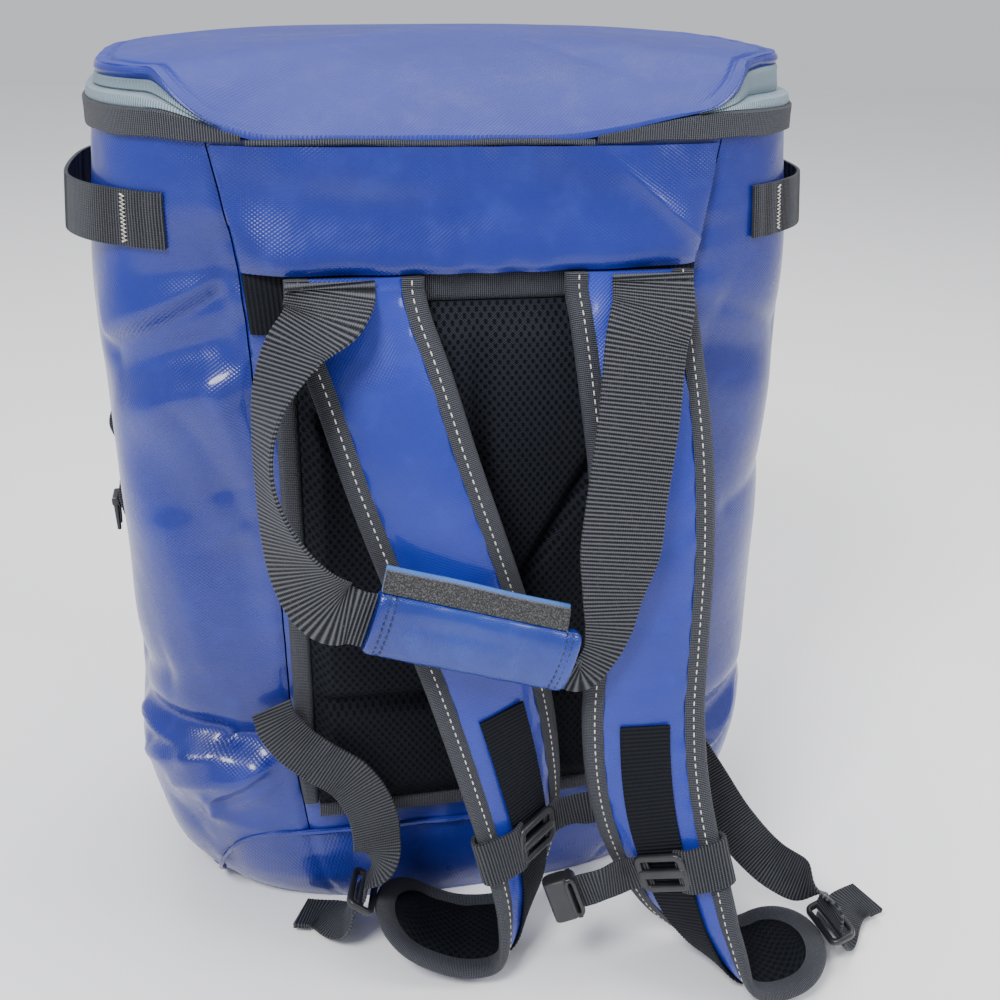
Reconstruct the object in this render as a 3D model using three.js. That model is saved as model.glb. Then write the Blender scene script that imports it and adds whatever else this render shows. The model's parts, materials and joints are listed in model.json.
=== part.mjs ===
// Soft cooler backpack standing on its base, with the harness side towards -Y.
// Millimetres, +Z up, origin at the middle of the base on the floor.
import * as THREE from 'three';

// Driving sizes of the box
const bodyWidth = 350;
const bodyDepth = 235;
const bodyHeight = 425;
const wall = 12;
const baseSeamRise = 62;
const lidRise = 27;
const lidPad = 9;
const lidLean = 8;
const lidCornerTuck = 9;
const fit = 0.3;
const softFit = 0.6;

// Rim, hinge, zip and gusset
const rimBandHeight = 13;
const rimBandThick = 1.6;
const zipTapeHeight = 4.2;
const zipTapeThick = 1.8;
const gussetHeight = 5;
const gussetThick = 3;
const weltSize = 3;
const hingeWidth = 5;

// Back panel
const yokeHeight = 54;
const yokeThick = 11;
const yokeTabHeight = 28;
const padWidth = 166;
const padTop = 356;
const padBottom = 85;
const padThick = 12;
const padBinding = 10;
const padBindingThick = 4;

// Webbing and straps
const strapWidth = 62;
const strapThick = 9;
const strapEdge = 10;
const strapEdgeThick = 5;
const strapTip = 17;
const webWidth = 25;
const webThick = 1.6;
const handleWidth = 39;
const handleThick = 1.8;
const gripLength = 98;
const gripHeight = 32;
const gripThick = 14;
const gripTape = 10;
const gripTapeShort = 8;
const sternumWidth = 20;
const sliderWidth = 28;
const sliderHeight = 23;
const sliderThick = 3;
const buckleWidth = 17;
const buckleHeight = 25;
const buckleThick = 11;
const adjusterHeight = 16;
const adjusterThick = 4;
const grabLoopWidth = 25;
const grabLoopLift = 10;
const daisyWidth = 20;
const daisyTop = 300;
const daisyBottom = 170;
const clipHeight = 22;
const clipWidth = 14;
const clipThick = 4;

// Facets
const sideSteps = 30;
const backSteps = 10;
const strapSteps = 20;

const halfGirth = 0.85 * (bodyWidth + bodyDepth);

// Plan of the box at each height: half width as a share of bodyWidth,
// back and front depth as shares of bodyDepth, corner squareness as exponents
const bodyRows = [
  { height: 0.0, half: 0.42, back: 0.4, front: 0.455, backSquare: 2.6, frontSquare: 2.5 },
  { height: 0.03, half: 0.448, back: 0.425, front: 0.485, backSquare: 2.8, frontSquare: 2.6 },
  { height: 0.075, half: 0.474, back: 0.446, front: 0.512, backSquare: 3.1, frontSquare: 2.7 },
  { height: 0.145, half: 0.492, back: 0.459, front: 0.525, backSquare: 3.6, frontSquare: 2.8 },
  { height: 0.225, half: 0.503, back: 0.468, front: 0.532, backSquare: 3.9, frontSquare: 2.9 },
  { height: 0.3, half: 0.495, back: 0.466, front: 0.53, backSquare: 4.0, frontSquare: 2.9 },
  { height: 0.48, half: 0.494, back: 0.466, front: 0.53, backSquare: 4.0, frontSquare: 2.9 },
  { height: 0.67, half: 0.497, back: 0.467, front: 0.532, backSquare: 4.0, frontSquare: 2.9 },
  { height: 0.8, half: 0.5, back: 0.468, front: 0.532, backSquare: 4.0, frontSquare: 2.9 },
  { height: 0.93, half: 0.489, back: 0.466, front: 0.53, backSquare: 4.0, frontSquare: 2.9 },
  { height: 1.0, half: 0.479, back: 0.464, front: 0.528, backSquare: 4.0, frontSquare: 2.9 },
];

// Dents and folds of the box: place as shares of the half girth (left is negative)
// and of bodyHeight, reach as shares of bodyWidth, depth as a share of the wall,
// tilt in degrees from level, rising with the share of the girth
const dents = [
  { name: 'seam_tuck_left', around: -0.19, height: 0.87, long: 0.1, wide: 0.07, depth: 0.4, tilt: 0 },
  { name: 'shoulder_fold_left', around: -0.225, height: 0.778, long: 0.13, wide: 0.034, depth: 0.8, tilt: 20 },
  { name: 'shoulder_ridge_left', around: -0.24, height: 0.715, long: 0.12, wide: 0.04, depth: -0.35, tilt: 20 },
  { name: 'waist_hollow_left', around: -0.23, height: 0.58, long: 0.05, wide: 0.13, depth: 0.45, tilt: 25 },
  { name: 'hip_crease_left', around: -0.235, height: 0.292, long: 0.15, wide: 0.026, depth: 1.0, tilt: -3 },
  { name: 'hip_bulge_left', around: -0.23, height: 0.235, long: 0.12, wide: 0.036, depth: -0.4, tilt: -6 },
  { name: 'heel_hollow_left', around: -0.25, height: 0.16, long: 0.06, wide: 0.03, depth: 0.35, tilt: 30 },
  { name: 'shoulder_fold_right', around: 0.235, height: 0.76, long: 0.1, wide: 0.045, depth: 0.4, tilt: -15 },
  { name: 'hip_crease_right', around: 0.27, height: 0.255, long: 0.11, wide: 0.032, depth: 0.65, tilt: 14 },
  { name: 'front_sag', around: 1.0, height: 0.42, long: 0.3, wide: 0.24, depth: 0.3, tilt: 0 },
  { name: 'front_crease', around: 0.86, height: 0.2, long: 0.2, wide: 0.035, depth: 0.35, tilt: 12 },
];

// Half spacing of the two back seams, as a share of bodyWidth
const seamRows = [
  { height: 0.0, half: 0.235 },
  { height: 0.16, half: 0.257 },
  { height: 0.25, half: 0.269 },
  { height: 0.49, half: 0.277 },
  { height: 0.675, half: 0.289 },
  { height: 0.866, half: 0.304 },
  { height: 1.0, half: 0.33 },
];

// Height of the base seam as a share of baseSeamRise, from the back to the front
const baseSeamRows = [
  { around: 0, rise: 1 },
  { around: 0.16, rise: 1 },
  { around: 0.21, rise: 0.93 },
  { around: 0.27, rise: 0.42 },
  { around: 0.32, rise: 0.1 },
  { around: 0.4, rise: 0.08 },
  { around: 1, rise: 0.08 },
];

function smoothstep(from, to, at) {
  const t = THREE.MathUtils.clamp((at - from) / (to - from), 0, 1);
  return t * t * (3 - 2 * t);
}

// Smooth value of one column of a table at a place along its key column
function lookup(rows, key, at, column) {
  const last = rows.length - 1;
  if (at <= rows[0][key]) return rows[0][column];
  if (at >= rows[last][key]) return rows[last][column];
  let i = 0;
  while (rows[i + 1][key] < at) i += 1;
  const span = rows[i + 1][key] - rows[i][key];
  const t = (at - rows[i][key]) / span;
  const slope = (j) => {
    const before = rows[Math.max(j - 1, 0)];
    const after = rows[Math.min(j + 1, last)];
    return ((after[column] - before[column]) / (after[key] - before[key])) * span;
  };
  const t2 = t * t;
  const t3 = t2 * t;
  return (2 * t3 - 3 * t2 + 1) * rows[i][column]
    + (t3 - 2 * t2 + t) * slope(i)
    + (3 * t2 - 2 * t3) * rows[i + 1][column]
    + (t3 - t2) * slope(i + 1);
}

// Closed mesh from vertices and triangle indices, turned outwards
function solid(vertices, faces) {
  let volume = 0;
  for (let i = 0; i < faces.length; i += 3) {
    const [a, b, c] = [vertices[faces[i]], vertices[faces[i + 1]], vertices[faces[i + 2]]];
    volume += a.dot(new THREE.Vector3().crossVectors(b, c));
  }
  const index = volume < 0 ? [...faces].reverse() : faces;
  const geometry = new THREE.BufferGeometry().setFromPoints(vertices);
  geometry.setIndex(index);
  geometry.computeVertexNormals();
  return geometry;
}

// Closed solid between an outer and an inner row of points in each section.
// The sections follow each other along the piece, in a ring when closed.
function slab(sections, closed = false) {
  const count = sections[0].outer.length;
  const vertices = sections.flatMap((section) => [...section.outer, ...section.inner]);
  const at = (i, side, j) => ((i % sections.length) * 2 + side) * count + j;
  const faces = [];
  const quad = (a, b, c, d) => faces.push(a, b, c, a, c, d);
  const spans = closed ? sections.length : sections.length - 1;
  const last = count - 1;
  for (let i = 0; i < spans; i += 1) {
    for (let j = 0; j < last; j += 1) {
      quad(at(i, 0, j), at(i + 1, 0, j), at(i + 1, 0, j + 1), at(i, 0, j + 1));
      quad(at(i, 1, j), at(i, 1, j + 1), at(i + 1, 1, j + 1), at(i + 1, 1, j));
    }
    quad(at(i, 0, 0), at(i, 1, 0), at(i + 1, 1, 0), at(i + 1, 0, 0));
    quad(at(i, 0, last), at(i + 1, 0, last), at(i + 1, 1, last), at(i, 1, last));
  }
  if (!closed) {
    for (let j = 0; j < last; j += 1) {
      quad(at(0, 0, j), at(0, 0, j + 1), at(0, 1, j + 1), at(0, 1, j));
      quad(at(spans, 0, j), at(spans, 1, j), at(spans, 1, j + 1), at(spans, 0, j + 1));
    }
  }
  return solid(vertices, faces);
}

// Closed solid between an upper and a lower disc, each a middle point and rings
function disc(upper, lower) {
  const steps = upper.rings[0].length;
  const rings = upper.rings.length;
  const vertices = [upper.middle, ...upper.rings.flat(), lower.middle, ...lower.rings.flat()];
  const lowerStart = 1 + steps * rings;
  const at = (start, k, i) => start + 1 + k * steps + (i % steps);
  const faces = [];
  for (let i = 0; i < steps; i += 1) {
    faces.push(0, at(0, 0, i), at(0, 0, i + 1));
    faces.push(lowerStart, at(lowerStart, 0, i + 1), at(lowerStart, 0, i));
    for (let k = 0; k < rings - 1; k += 1) {
      const [a, b] = [at(0, k, i), at(0, k, i + 1)];
      const [c, d] = [at(0, k + 1, i + 1), at(0, k + 1, i)];
      faces.push(a, d, c, a, c, b);
      const [e, f] = [at(lowerStart, k, i), at(lowerStart, k, i + 1)];
      const [g, h] = [at(lowerStart, k + 1, i + 1), at(lowerStart, k + 1, i)];
      faces.push(e, f, g, e, g, h);
    }
    const [p, q] = [at(0, rings - 1, i), at(0, rings - 1, i + 1)];
    const [r, s] = [at(lowerStart, rings - 1, i + 1), at(lowerStart, rings - 1, i)];
    faces.push(p, s, q, q, s, r);
  }
  return solid(vertices, faces);
}

// Point and outward direction of the undented plan outline at a height
function outline(around, height) {
  const share = height / bodyHeight;
  const angle = around * Math.PI;
  const sideways = Math.sin(angle);
  const backwards = Math.cos(angle);
  const half = lookup(bodyRows, 'height', share, 'half') * bodyWidth;
  const depth = lookup(bodyRows, 'height', share, backwards > 0 ? 'back' : 'front') * bodyDepth;
  const square = lookup(bodyRows, 'height', share, backwards > 0 ? 'backSquare' : 'frontSquare');
  const sum = Math.abs(sideways) ** square + Math.abs(backwards) ** square;
  const reach = sum ** (-1 / square);
  const u = reach * sideways;
  const v = -reach * backwards;
  const normal = new THREE.Vector3(
    (Math.sign(u) * Math.abs(u) ** (square - 1)) / half,
    (Math.sign(v) * Math.abs(v) ** (square - 1)) / depth,
    0,
  ).normalize();
  return { point: new THREE.Vector3(half * u, depth * v, height), normal };
}

// How far the cloth is pushed in at a place of the box
function dentDepth(around, height) {
  let total = 0;
  for (const dent of dents) {
    let turn = around - dent.around;
    if (turn > 1) turn -= 2;
    if (turn < -1) turn += 2;
    const across = turn * halfGirth;
    const up = height - dent.height * bodyHeight;
    const tilt = THREE.MathUtils.degToRad(dent.tilt);
    const p = (across * Math.cos(tilt) + up * Math.sin(tilt)) / (dent.long * bodyWidth);
    const q = (up * Math.cos(tilt) - across * Math.sin(tilt)) / (dent.wide * bodyWidth);
    total += dent.depth * wall * Math.exp(-(p * p) - q * q);
  }
  const share = height / bodyHeight;
  const turn = Math.abs(around > 1 ? around - 2 : around);
  const fade = smoothstep(0, 0.06, share) * (1 - smoothstep(0.9, 0.97, share));
  return total * fade * smoothstep(0.165, 0.2, turn);
}

// Point of the box's outer skin, lifted off it by a distance
function skin(around, height, lift = 0) {
  const { point, normal } = outline(around, height);
  return point.addScaledVector(normal, lift - dentDepth(around, height));
}

// Point above the rim that follows the rim's outline
function rim(around, height, lift = 0) {
  const { point, normal } = outline(around, bodyHeight);
  point.addScaledVector(normal, lift);
  point.z = height;
  return point;
}

// Place along the girth of a point of the back panel at this x
function aroundAt(x, height) {
  const share = height / bodyHeight;
  const square = lookup(bodyRows, 'height', share, 'backSquare');
  const across = Math.abs(x) / (lookup(bodyRows, 'height', share, 'half') * bodyWidth);
  const deep = (1 - Math.min(across, 0.999) ** square) ** (1 / square);
  return (Math.sign(x) * Math.atan2(across, deep)) / Math.PI;
}

function seamX(height) {
  return lookup(seamRows, 'height', height / bodyHeight, 'half') * bodyWidth;
}

// Below the base seam's height the two back seams keep their place on the girth
function seamAround(height) {
  const level = Math.max(height, baseSeamRise);
  return aroundAt(seamX(level), level);
}

function baseSeam(around) {
  const turn = Math.abs(around > 1 ? around - 2 : around);
  return lookup(baseSeamRows, 'around', turn, 'rise') * baseSeamRise;
}

// How far the rim has risen from the hinge to the full rim band: 0 at the hinge
const wings = { left: { from: 0.155, to: 0.24 }, right: { from: 0.06, to: 0.21 } };

function wing(around) {
  const turn = around > 1 ? around - 2 : around;
  const { from, to } = turn < 0 ? wings.left : wings.right;
  return smoothstep(from, to, Math.abs(turn));
}

function wallTop(around) {
  return bodyHeight + (rimBandHeight - rimBandThick - fit) * wing(around);
}

// Lower edge of the wall, on its outside and on its inside
function wallFoot(around) {
  const outside = baseSeam(around);
  return { outside, inside: Math.max(outside, wall) };
}

// Rows of a wall panel, closer together where the folds are
const wallRows = [0, 0.04, 0.09, 0.15, 0.2, 0.24, 0.28, 0.33, 0.43, 0.55, 0.64, 0.7, 0.74, 0.78, 0.84,
  0.92, 1];
const rimFoot = bodyHeight - 3;

function wallSection(turnAt) {
  const column = (lift, foot) => {
    const heights = wallRows.map((share) => foot + share * (rimFoot - foot));
    heights.push(wallTop(turnAt(bodyHeight)));
    return heights.map((height) => skin(turnAt(height), height, lift));
  };
  const { outside, inside } = wallFoot(turnAt(baseSeamRise));
  return { outer: column(0, outside + fit), inner: column(-wall, inside + fit) };
}

const colours = {
  tarp: [0x2f4fc4, 0.35],
  web: [0x23252b, 0.85],
  mesh: [0x17181d, 0.95],
  zip: [0x8fa6b5, 0.5],
  plastic: [0x15161a, 0.4],
};

const backpack = new THREE.Group();

function add(name, geometry, colour) {
  const [shade, roughness] = colours[colour];
  const material = new THREE.MeshStandardMaterial({ color: shade, roughness, metalness: 0 });
  const mesh = new THREE.Mesh(geometry, material);
  mesh.name = name;
  backpack.add(mesh);
  return mesh;
}

function range(count) {
  return Array.from({ length: count + 1 }, (_, i) => i / count);
}

// Places along the girth: the side panel's columns crowd the corners near the harness
function sideTurns(height, margin) {
  const start = seamAround(height) + margin;
  return range(sideSteps).map((t) => {
    const share = t - 0.07 * Math.sin(2 * Math.PI * t);
    return start + share * (2 - 2 * start);
  });
}

function backTurns(height, margin) {
  const edge = seamAround(height) - margin;
  return range(backSteps).map((t) => -edge + 2 * edge * t);
}

// Both panels' places, shared by every piece that follows the box all round
const seamGap = fit / halfGirth;

function ringTurns(height) {
  return [...backTurns(height, seamGap), ...sideTurns(height, seamGap)];
}

// Part of that ring between two places, ending at the nearest columns
function arcTurns(from, to) {
  const ring = ringTurns(bodyHeight);
  const wrapped = [...ring.map((t) => t - 2), ...ring, ...ring.map((t) => t + 2)];
  return wrapped.filter((t) => t >= from && t <= to);
}

// Box
function sideWall() {
  const columns = range(sideSteps).map((t, i) => (
    wallSection((height) => sideTurns(height, seamGap)[i])));
  return slab(columns);
}

function backWall() {
  const columns = range(backSteps).map((t, i) => (
    wallSection((height) => backTurns(height, seamGap)[i])));
  return slab(columns);
}

function baseWall() {
  const turns = ringTurns(baseSeamRise);
  const floor = (share) => turns.map((turn) => outline(turn, 0).point.multiplyScalar(share));
  const innerFloor = (share) => turns.map((turn) => {
    const edge = skin(turn, wall, -wall);
    return new THREE.Vector3(edge.x * share, edge.y * share, wall);
  });
  const rise = (share, lift) => turns.map((turn) => {
    const foot = wallFoot(turn);
    const top = lift < 0 ? foot.inside : foot.outside;
    const bottom = lift < 0 ? wall : 0;
    return skin(turn, bottom + share * (top - bottom), lift);
  });
  const floorShares = [0.5, 1];
  const riseShares = [0.2, 0.5, 1];
  return disc(
    {
      middle: new THREE.Vector3(0, 0, wall),
      rings: [...floorShares.map(innerFloor), ...riseShares.map((share) => rise(share, -wall))],
    },
    {
      middle: new THREE.Vector3(0, 0, 0),
      rings: [...floorShares.map(floor), ...riseShares.map((share) => rise(share, 0))],
    },
  );
}

// Ring of a four-sided profile that follows the box; the profile gives lift and height
function skirt(turns, profile, place, closed) {
  const sections = turns.map((turn) => {
    const { outer, inner } = profile(turn);
    const put = ([lift, height]) => place(turn, height, lift);
    return { outer: outer.map(put), inner: inner.map(put) };
  });
  return slab(sections, closed);
}

// Rolled welt along the base seam
function baseWelt() {
  const profile = (turn) => {
    const middle = baseSeam(turn);
    return {
      outer: [[weltSize, middle - weltSize * 0.3], [weltSize, middle + weltSize * 0.3]],
      inner: [[softFit, middle - weltSize / 2], [softFit, middle + weltSize / 2]],
    };
  };
  return skirt(ringTurns(baseSeamRise), profile, skin, true);
}

// Webbing binding folded over the rim, narrowing to its two ends at the hinge
const bandEnd = { left: wings.left.from + 0.022, right: wings.right.from + 0.04 };

const hingeGap = 1.2 / halfGirth;

function bandTop(turn) {
  return wallTop(turn) + fit + rimBandThick;
}

function rimBand() {
  const reach = -wall * 0.7;
  const profile = (turn) => {
    const top = bandTop(turn);
    return {
      outer: [[softFit + rimBandThick, bodyHeight], [softFit + rimBandThick, top], [reach, top]],
      inner: [[softFit, bodyHeight], [softFit, top - rimBandThick], [reach, top - rimBandThick]],
    };
  };
  return skirt(arcTurns(bandEnd.right, 2 - bandEnd.left), profile, rim, false);
}

// Narrow binding that joins the lid to the back panel
function hingeBinding() {
  const low = bodyHeight - hingeWidth / 2;
  const high = bodyHeight + hingeWidth / 2;
  const profile = () => ({
    outer: [[softFit + 2, low], [softFit + 2.6, bodyHeight], [softFit + 2, high]],
    inner: [[softFit, low], [softFit, bodyHeight], [softFit, high]],
  });
  const band = arcTurns(bandEnd.right, 2 - bandEnd.left);
  const from = band[band.length - 1] - 2 + hingeGap;
  const to = band[0] - hingeGap;
  return skirt([from, ...arcTurns(from + 0.004, to - 0.004), to], profile, rim, false);
}

// Lid outline: drawn in from the rim, most at the two back corners
const lidInset = 5;

function lidLift(turn) {
  const t = Math.abs(turn > 1 ? turn - 2 : turn);
  const corner = Math.exp(-(((t - 0.265) / 0.065) ** 2));
  return -lidInset * smoothstep(0.08, 0.24, t) - lidCornerTuck * corner;
}

// The lid sits higher towards the right-hand side
function lidRaise(turn) {
  const { point } = outline(turn, bodyHeight);
  return lidLean * (0.5 + (0.5 * point.x) / (bodyWidth / 2)) * smoothstep(0.1, 0.3, Math.abs(turn > 1 ? turn - 2 : turn));
}

const zipFoot = bodyHeight + rimBandHeight + fit;
const zipMiddle = zipFoot + zipTapeHeight;
const zipEnd = { left: 0.225, right: 0.215 };

function zipHead(turn) {
  return zipMiddle + fit + zipTapeHeight + lidRaise(turn);
}

// Lower zip tape on the rim band, and upper tape that follows the lid's edge
function zipTape(upper) {
  const profile = (turn) => {
    const lift = upper ? lidLift(turn) : -rimBandThick;
    const low = upper ? zipMiddle + fit : zipFoot;
    const high = upper ? zipHead(turn) : zipMiddle;
    return {
      outer: [[lift + (upper ? 1 : 0), low], [lift, high]],
      inner: [[lift - zipTapeThick, low], [lift - zipTapeThick, high]],
    };
  };
  return skirt(arcTurns(zipEnd.right, 2 - zipEnd.left), profile, rim, false);
}

// Gusset strip that stands round the lid above the zip
function gussetHead(turn) {
  return zipHead(turn) + fit + gussetHeight;
}

function lidGusset() {
  const profile = (turn) => {
    const low = zipHead(turn) + fit;
    const high = gussetHead(turn);
    const lift = lidLift(turn);
    return {
      outer: [[lift, low], [lift + 1.2, (low + high) / 2], [lift, high]],
      inner: [[lift - gussetThick, low], [lift - gussetThick, (low + high) / 2], [lift - gussetThick, high]],
    };
  };
  return skirt(arcTurns(zipEnd.right, 2 - zipEnd.left), profile, rim, false);
}

// Padded domed lid: its back edge drops to the hinge
function lidTop() {
  const turns = ringTurns(bodyHeight);
  const backness = (turn) => {
    const signed = turn > 1 ? turn - 2 : turn;
    const end = signed < 0 ? zipEnd.left : zipEnd.right;
    return 1 - smoothstep(end - 0.05, end + 0.01, Math.abs(signed));
  };
  const inside = (turn) => lidLift(turn) - (gussetThick + fit) * (1 - backness(turn));
  const crown = bodyHeight + rimBandHeight + lidRise;
  const foot = (turn) => bandTop(turn) + fit;
  const surface = (share, turn, lower) => {
    const back = backness(turn);
    const edge = rim(turn, 0, inside(turn));
    const head = gussetHead(turn) + (foot(turn) + lidPad * 0.8 - gussetHead(turn)) * back;
    const lean = lidLean * 0.5 * (edge.x / (bodyWidth / 2)) * share * (1 - share);
    const fullness = 1 - share ** (3 + 1.5 * back);
    const height = head + (crown - head) * fullness + lean;
    const sink = lower ? Math.min(lidPad, height - foot(turn) - 0.5) : lidPad * 0.25 * (share === 1);
    return new THREE.Vector3(edge.x * share, edge.y * share, height - sink);
  };
  const shares = [0.35, 0.65, 0.85, 0.95, 1];
  const rings = (lower) => shares.map((share) => turns.map((turn) => surface(share, turn, lower)));
  return disc(
    { middle: new THREE.Vector3(0, 0, crown), rings: rings(false) },
    { middle: new THREE.Vector3(0, 0, crown - lidPad), rings: rings(true) },
  );
}

// Padded upper back panel over the strap roots, with a rolled lower edge
const yokeTop = bodyHeight - hingeWidth / 2 - fit;
const yokeFoot = yokeTop - yokeHeight + 2;
const yokeRows = [
  { up: 0, lift: 0.86 },
  { up: 0.07, lift: 1.0 },
  { up: 0.3, lift: 0.86 },
  { up: 0.6, lift: 0.52 },
  { up: 0.85, lift: 0.3 },
  { up: 1, lift: 0.2 },
];

function yokePanel() {
  const columns = range(backSteps).map((t, i) => {
    const side = 2 * t - 1;
    const row = (raised) => yokeRows.map(({ up, lift }) => {
      const height = yokeFoot + up * (yokeTop - yokeFoot);
      const taper = 1 - 0.75 * Math.abs(side) ** 8;
      return skin(
        backTurns(height, 1.5 / halfGirth)[i],
        height,
        raised ? softFit + lift * yokeThick * taper : softFit,
      );
    });
    return { outer: row(true), inner: row(false) };
  });
  return slab(columns);
}

// Webbing tab between the back seam and the pad, under the yoke
const padShoulder = yokeFoot - yokeTabHeight - 2 * fit;
const padNeck = 50;

function yokeTab(side) {
  const top = yokeFoot - fit;
  const heights = [top - yokeTabHeight, top - yokeTabHeight / 2, top];
  const sections = range(5).map((share) => {
    const row = (lift) => heights.map((height) => {
      const outside = seamX(height) - 2;
      const x = padNeck + 4 + share * (outside - padNeck - 4);
      return skin(aroundAt(side * x, height), height, lift);
    });
    return { outer: row(softFit + webThick), inner: row(softFit) };
  });
  return slab(sections);
}

// Air-mesh back pad with two long cushions, a middle channel and a level channel
function padRelief(x, height) {
  const middle = Math.exp(-((x / 15) ** 2));
  const level = Math.exp(-(((height - 150) / 8) ** 2));
  return Math.max(middle, level);
}

function backPad() {
  const half = padWidth / 2;
  const rightHalf = [12, 25, padNeck - 8, padNeck, half * 0.78, half * 0.93, half];
  const columns = [...rightHalf.map((x) => -x).reverse(), 0, ...rightHalf];
  const ups = [0, 0.04, 0.14, 0.2, 0.235, 0.27, 0.33, 0.48, 0.63, 0.78, 0.9, 0.97, 1];
  const sections = columns.map((x) => {
    const top = Math.abs(x) < padNeck - 4 ? padTop : padShoulder;
    const row = (raised) => ups.map((up) => {
      const height = padBottom + up * (top - padBottom);
      const rims = [smoothstep(0.9, 1, Math.abs(x) / half), smoothstep(0.94, 1, up), 1 - smoothstep(0, 0.06, up)];
      const full = padThick * (1 - 0.45 * padRelief(x, height));
      const thick = full + (padBindingThick - full) * Math.max(...rims);
      return skin(aroundAt(x, height), height, raised ? softFit + thick : softFit);
    });
    return { outer: row(true), inner: row(false) };
  });
  return slab(sections);
}

function padStrip(from, to, count, thick) {
  const sections = range(count).map((share) => {
    const a = { x: THREE.MathUtils.lerp(from.x, to.x, share), low: from.low, high: from.high };
    const row = (lift) => [a.low, (a.low + a.high) / 2, a.high].map((height) => (
      skin(aroundAt(a.x, height), height, lift)));
    return { outer: row(softFit + thick), inner: row(softFit) };
  });
  return slab(sections);
}

function padSideBinding(side) {
  const near = padWidth / 2 + fit;
  const heights = range(8).map((t) => padBottom + t * (padShoulder - padBottom));
  const sections = heights.map((height) => {
    const far = Math.min(near + padBinding, seamX(height) - 1);
    const row = (lift) => [near, far].map((x) => skin(aroundAt(side * x, height), height, lift));
    return { outer: row(softFit + padBindingThick), inner: row(softFit) };
  });
  return slab(sections);
}

// Ribbon route: smooth curve through rows of points, with the direction of its width.
// yaw turns the width from +X towards +Y, tilt lifts it towards +Z.
function route(rows) {
  const points = rows.map((row) => new THREE.Vector3(row.x, row.y, row.z));
  const curve = new THREE.CatmullRomCurve3(points, false, 'centripetal');
  const keyed = rows.map((row, i) => ({ ...row, key: i / (rows.length - 1) }));
  return (t) => {
    const yaw = THREE.MathUtils.degToRad(lookup(keyed, 'key', t, 'yaw'));
    const tilt = THREE.MathUtils.degToRad(lookup(keyed, 'key', t, 'tilt'));
    const along = curve.getTangent(t);
    const across = new THREE.Vector3(
      Math.cos(yaw) * Math.cos(tilt), Math.sin(yaw) * Math.cos(tilt), Math.sin(tilt),
    );
    across.addScaledVector(along, -across.dot(along)).normalize();
    const out = new THREE.Vector3().crossVectors(along, across);
    return { point: curve.getPoint(t), along, across, out };
  };
}

function onFrame(frame, a, n) {
  return frame.point.clone().addScaledVector(frame.across, a).addScaledVector(frame.out, n);
}

// Sections of a flat ribbon along a route; its width may change along it
function ribbonSections(rows, steps, width, thick) {
  const path = route(rows);
  const keyed = rows.map((row, i) => ({ key: i / (rows.length - 1), share: row.share ?? 1 }));
  return range(steps).map((t) => {
    const frame = path(t);
    const half = (width / 2) * lookup(keyed, 'key', t, 'share');
    const row = (n) => [-half, half].map((a) => onFrame(frame, a, n));
    return { outer: row(thick / 2), inner: row(-thick / 2) };
  });
}

function ribbon(rows, steps, width, thick) {
  return slab(ribbonSections(rows, steps, width, thick));
}

// Shoulder strap routes from the yoke to the floor, as shares: x of bodyWidth,
// y of bodyDepth in front of the back panel, z of the height of the strap roots
const strapRows = {
  left: [
    { x: -0.16, y: 0.036, z: 1.0, yaw: 0, tilt: 0 },
    { x: -0.16, y: 0.039, z: 0.98, yaw: 0, tilt: 0 },
    { x: -0.153, y: 0.066, z: 0.94, yaw: 0, tilt: 7 },
    { x: -0.132, y: 0.115, z: 0.876, yaw: 0, tilt: 10 },
    { x: -0.1, y: 0.15, z: 0.77, yaw: 0, tilt: 12 },
    { x: -0.054, y: 0.166, z: 0.635, yaw: 3, tilt: 15 },
    { x: -0.004, y: 0.168, z: 0.484, yaw: 12, tilt: 14 },
    { x: 0.032, y: 0.168, z: 0.343, yaw: 26, tilt: 10 },
    { x: 0.054, y: 0.168, z: 0.219, yaw: 40, tilt: 0 },
    { x: 0.056, y: 0.165, z: 0.114, yaw: 56, tilt: 0 },
    { x: 0.028, y: 0.158, z: 0.039, yaw: 72, tilt: 0 },
    { x: -0.028, y: 0.14, z: 0.025, yaw: 80, tilt: 0 },
    { x: -0.094, y: 0.118, z: 0.046, yaw: 82, tilt: 0 },
    { x: -0.142, y: 0.1, z: 0.087, yaw: 82, tilt: 0 },
  ],
  right: [
    { x: 0.2, y: 0.036, z: 1.0, yaw: 0, tilt: 0 },
    { x: 0.2, y: 0.039, z: 0.98, yaw: 0, tilt: 0 },
    { x: 0.204, y: 0.065, z: 0.945, yaw: 0, tilt: 0 },
    { x: 0.212, y: 0.118, z: 0.859, yaw: 0, tilt: 0 },
    { x: 0.222, y: 0.152, z: 0.765, yaw: 0, tilt: 0 },
    { x: 0.227, y: 0.182, z: 0.64, yaw: 0, tilt: 0 },
    { x: 0.222, y: 0.208, z: 0.519, yaw: -3, tilt: 0 },
    { x: 0.217, y: 0.232, z: 0.414, yaw: -10, tilt: -2 },
    { x: 0.228, y: 0.262, z: 0.3, yaw: -20, tilt: -4 },
    { x: 0.258, y: 0.288, z: 0.197, yaw: -34, tilt: 0 },
    { x: 0.305, y: 0.318, z: 0.095, yaw: -52, tilt: 0 },
    { x: 0.362, y: 0.338, z: 0.032, yaw: -70, tilt: 0 },
    { x: 0.424, y: 0.338, z: 0.028, yaw: -82, tilt: 0 },
    { x: 0.485, y: 0.32, z: 0.06, yaw: -84, tilt: 0 },
  ],
};

const backDepth = lookup(bodyRows, 'height', 0.8, 'back') * bodyDepth;
const rootDrop = 0.6;
const rootHeight = yokeFoot - fit - rootDrop;

function place(row) {
  return {
    ...row,
    x: row.x * bodyWidth,
    y: -backDepth - row.y * bodyDepth,
    z: row.z * rootHeight,
  };
}

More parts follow.
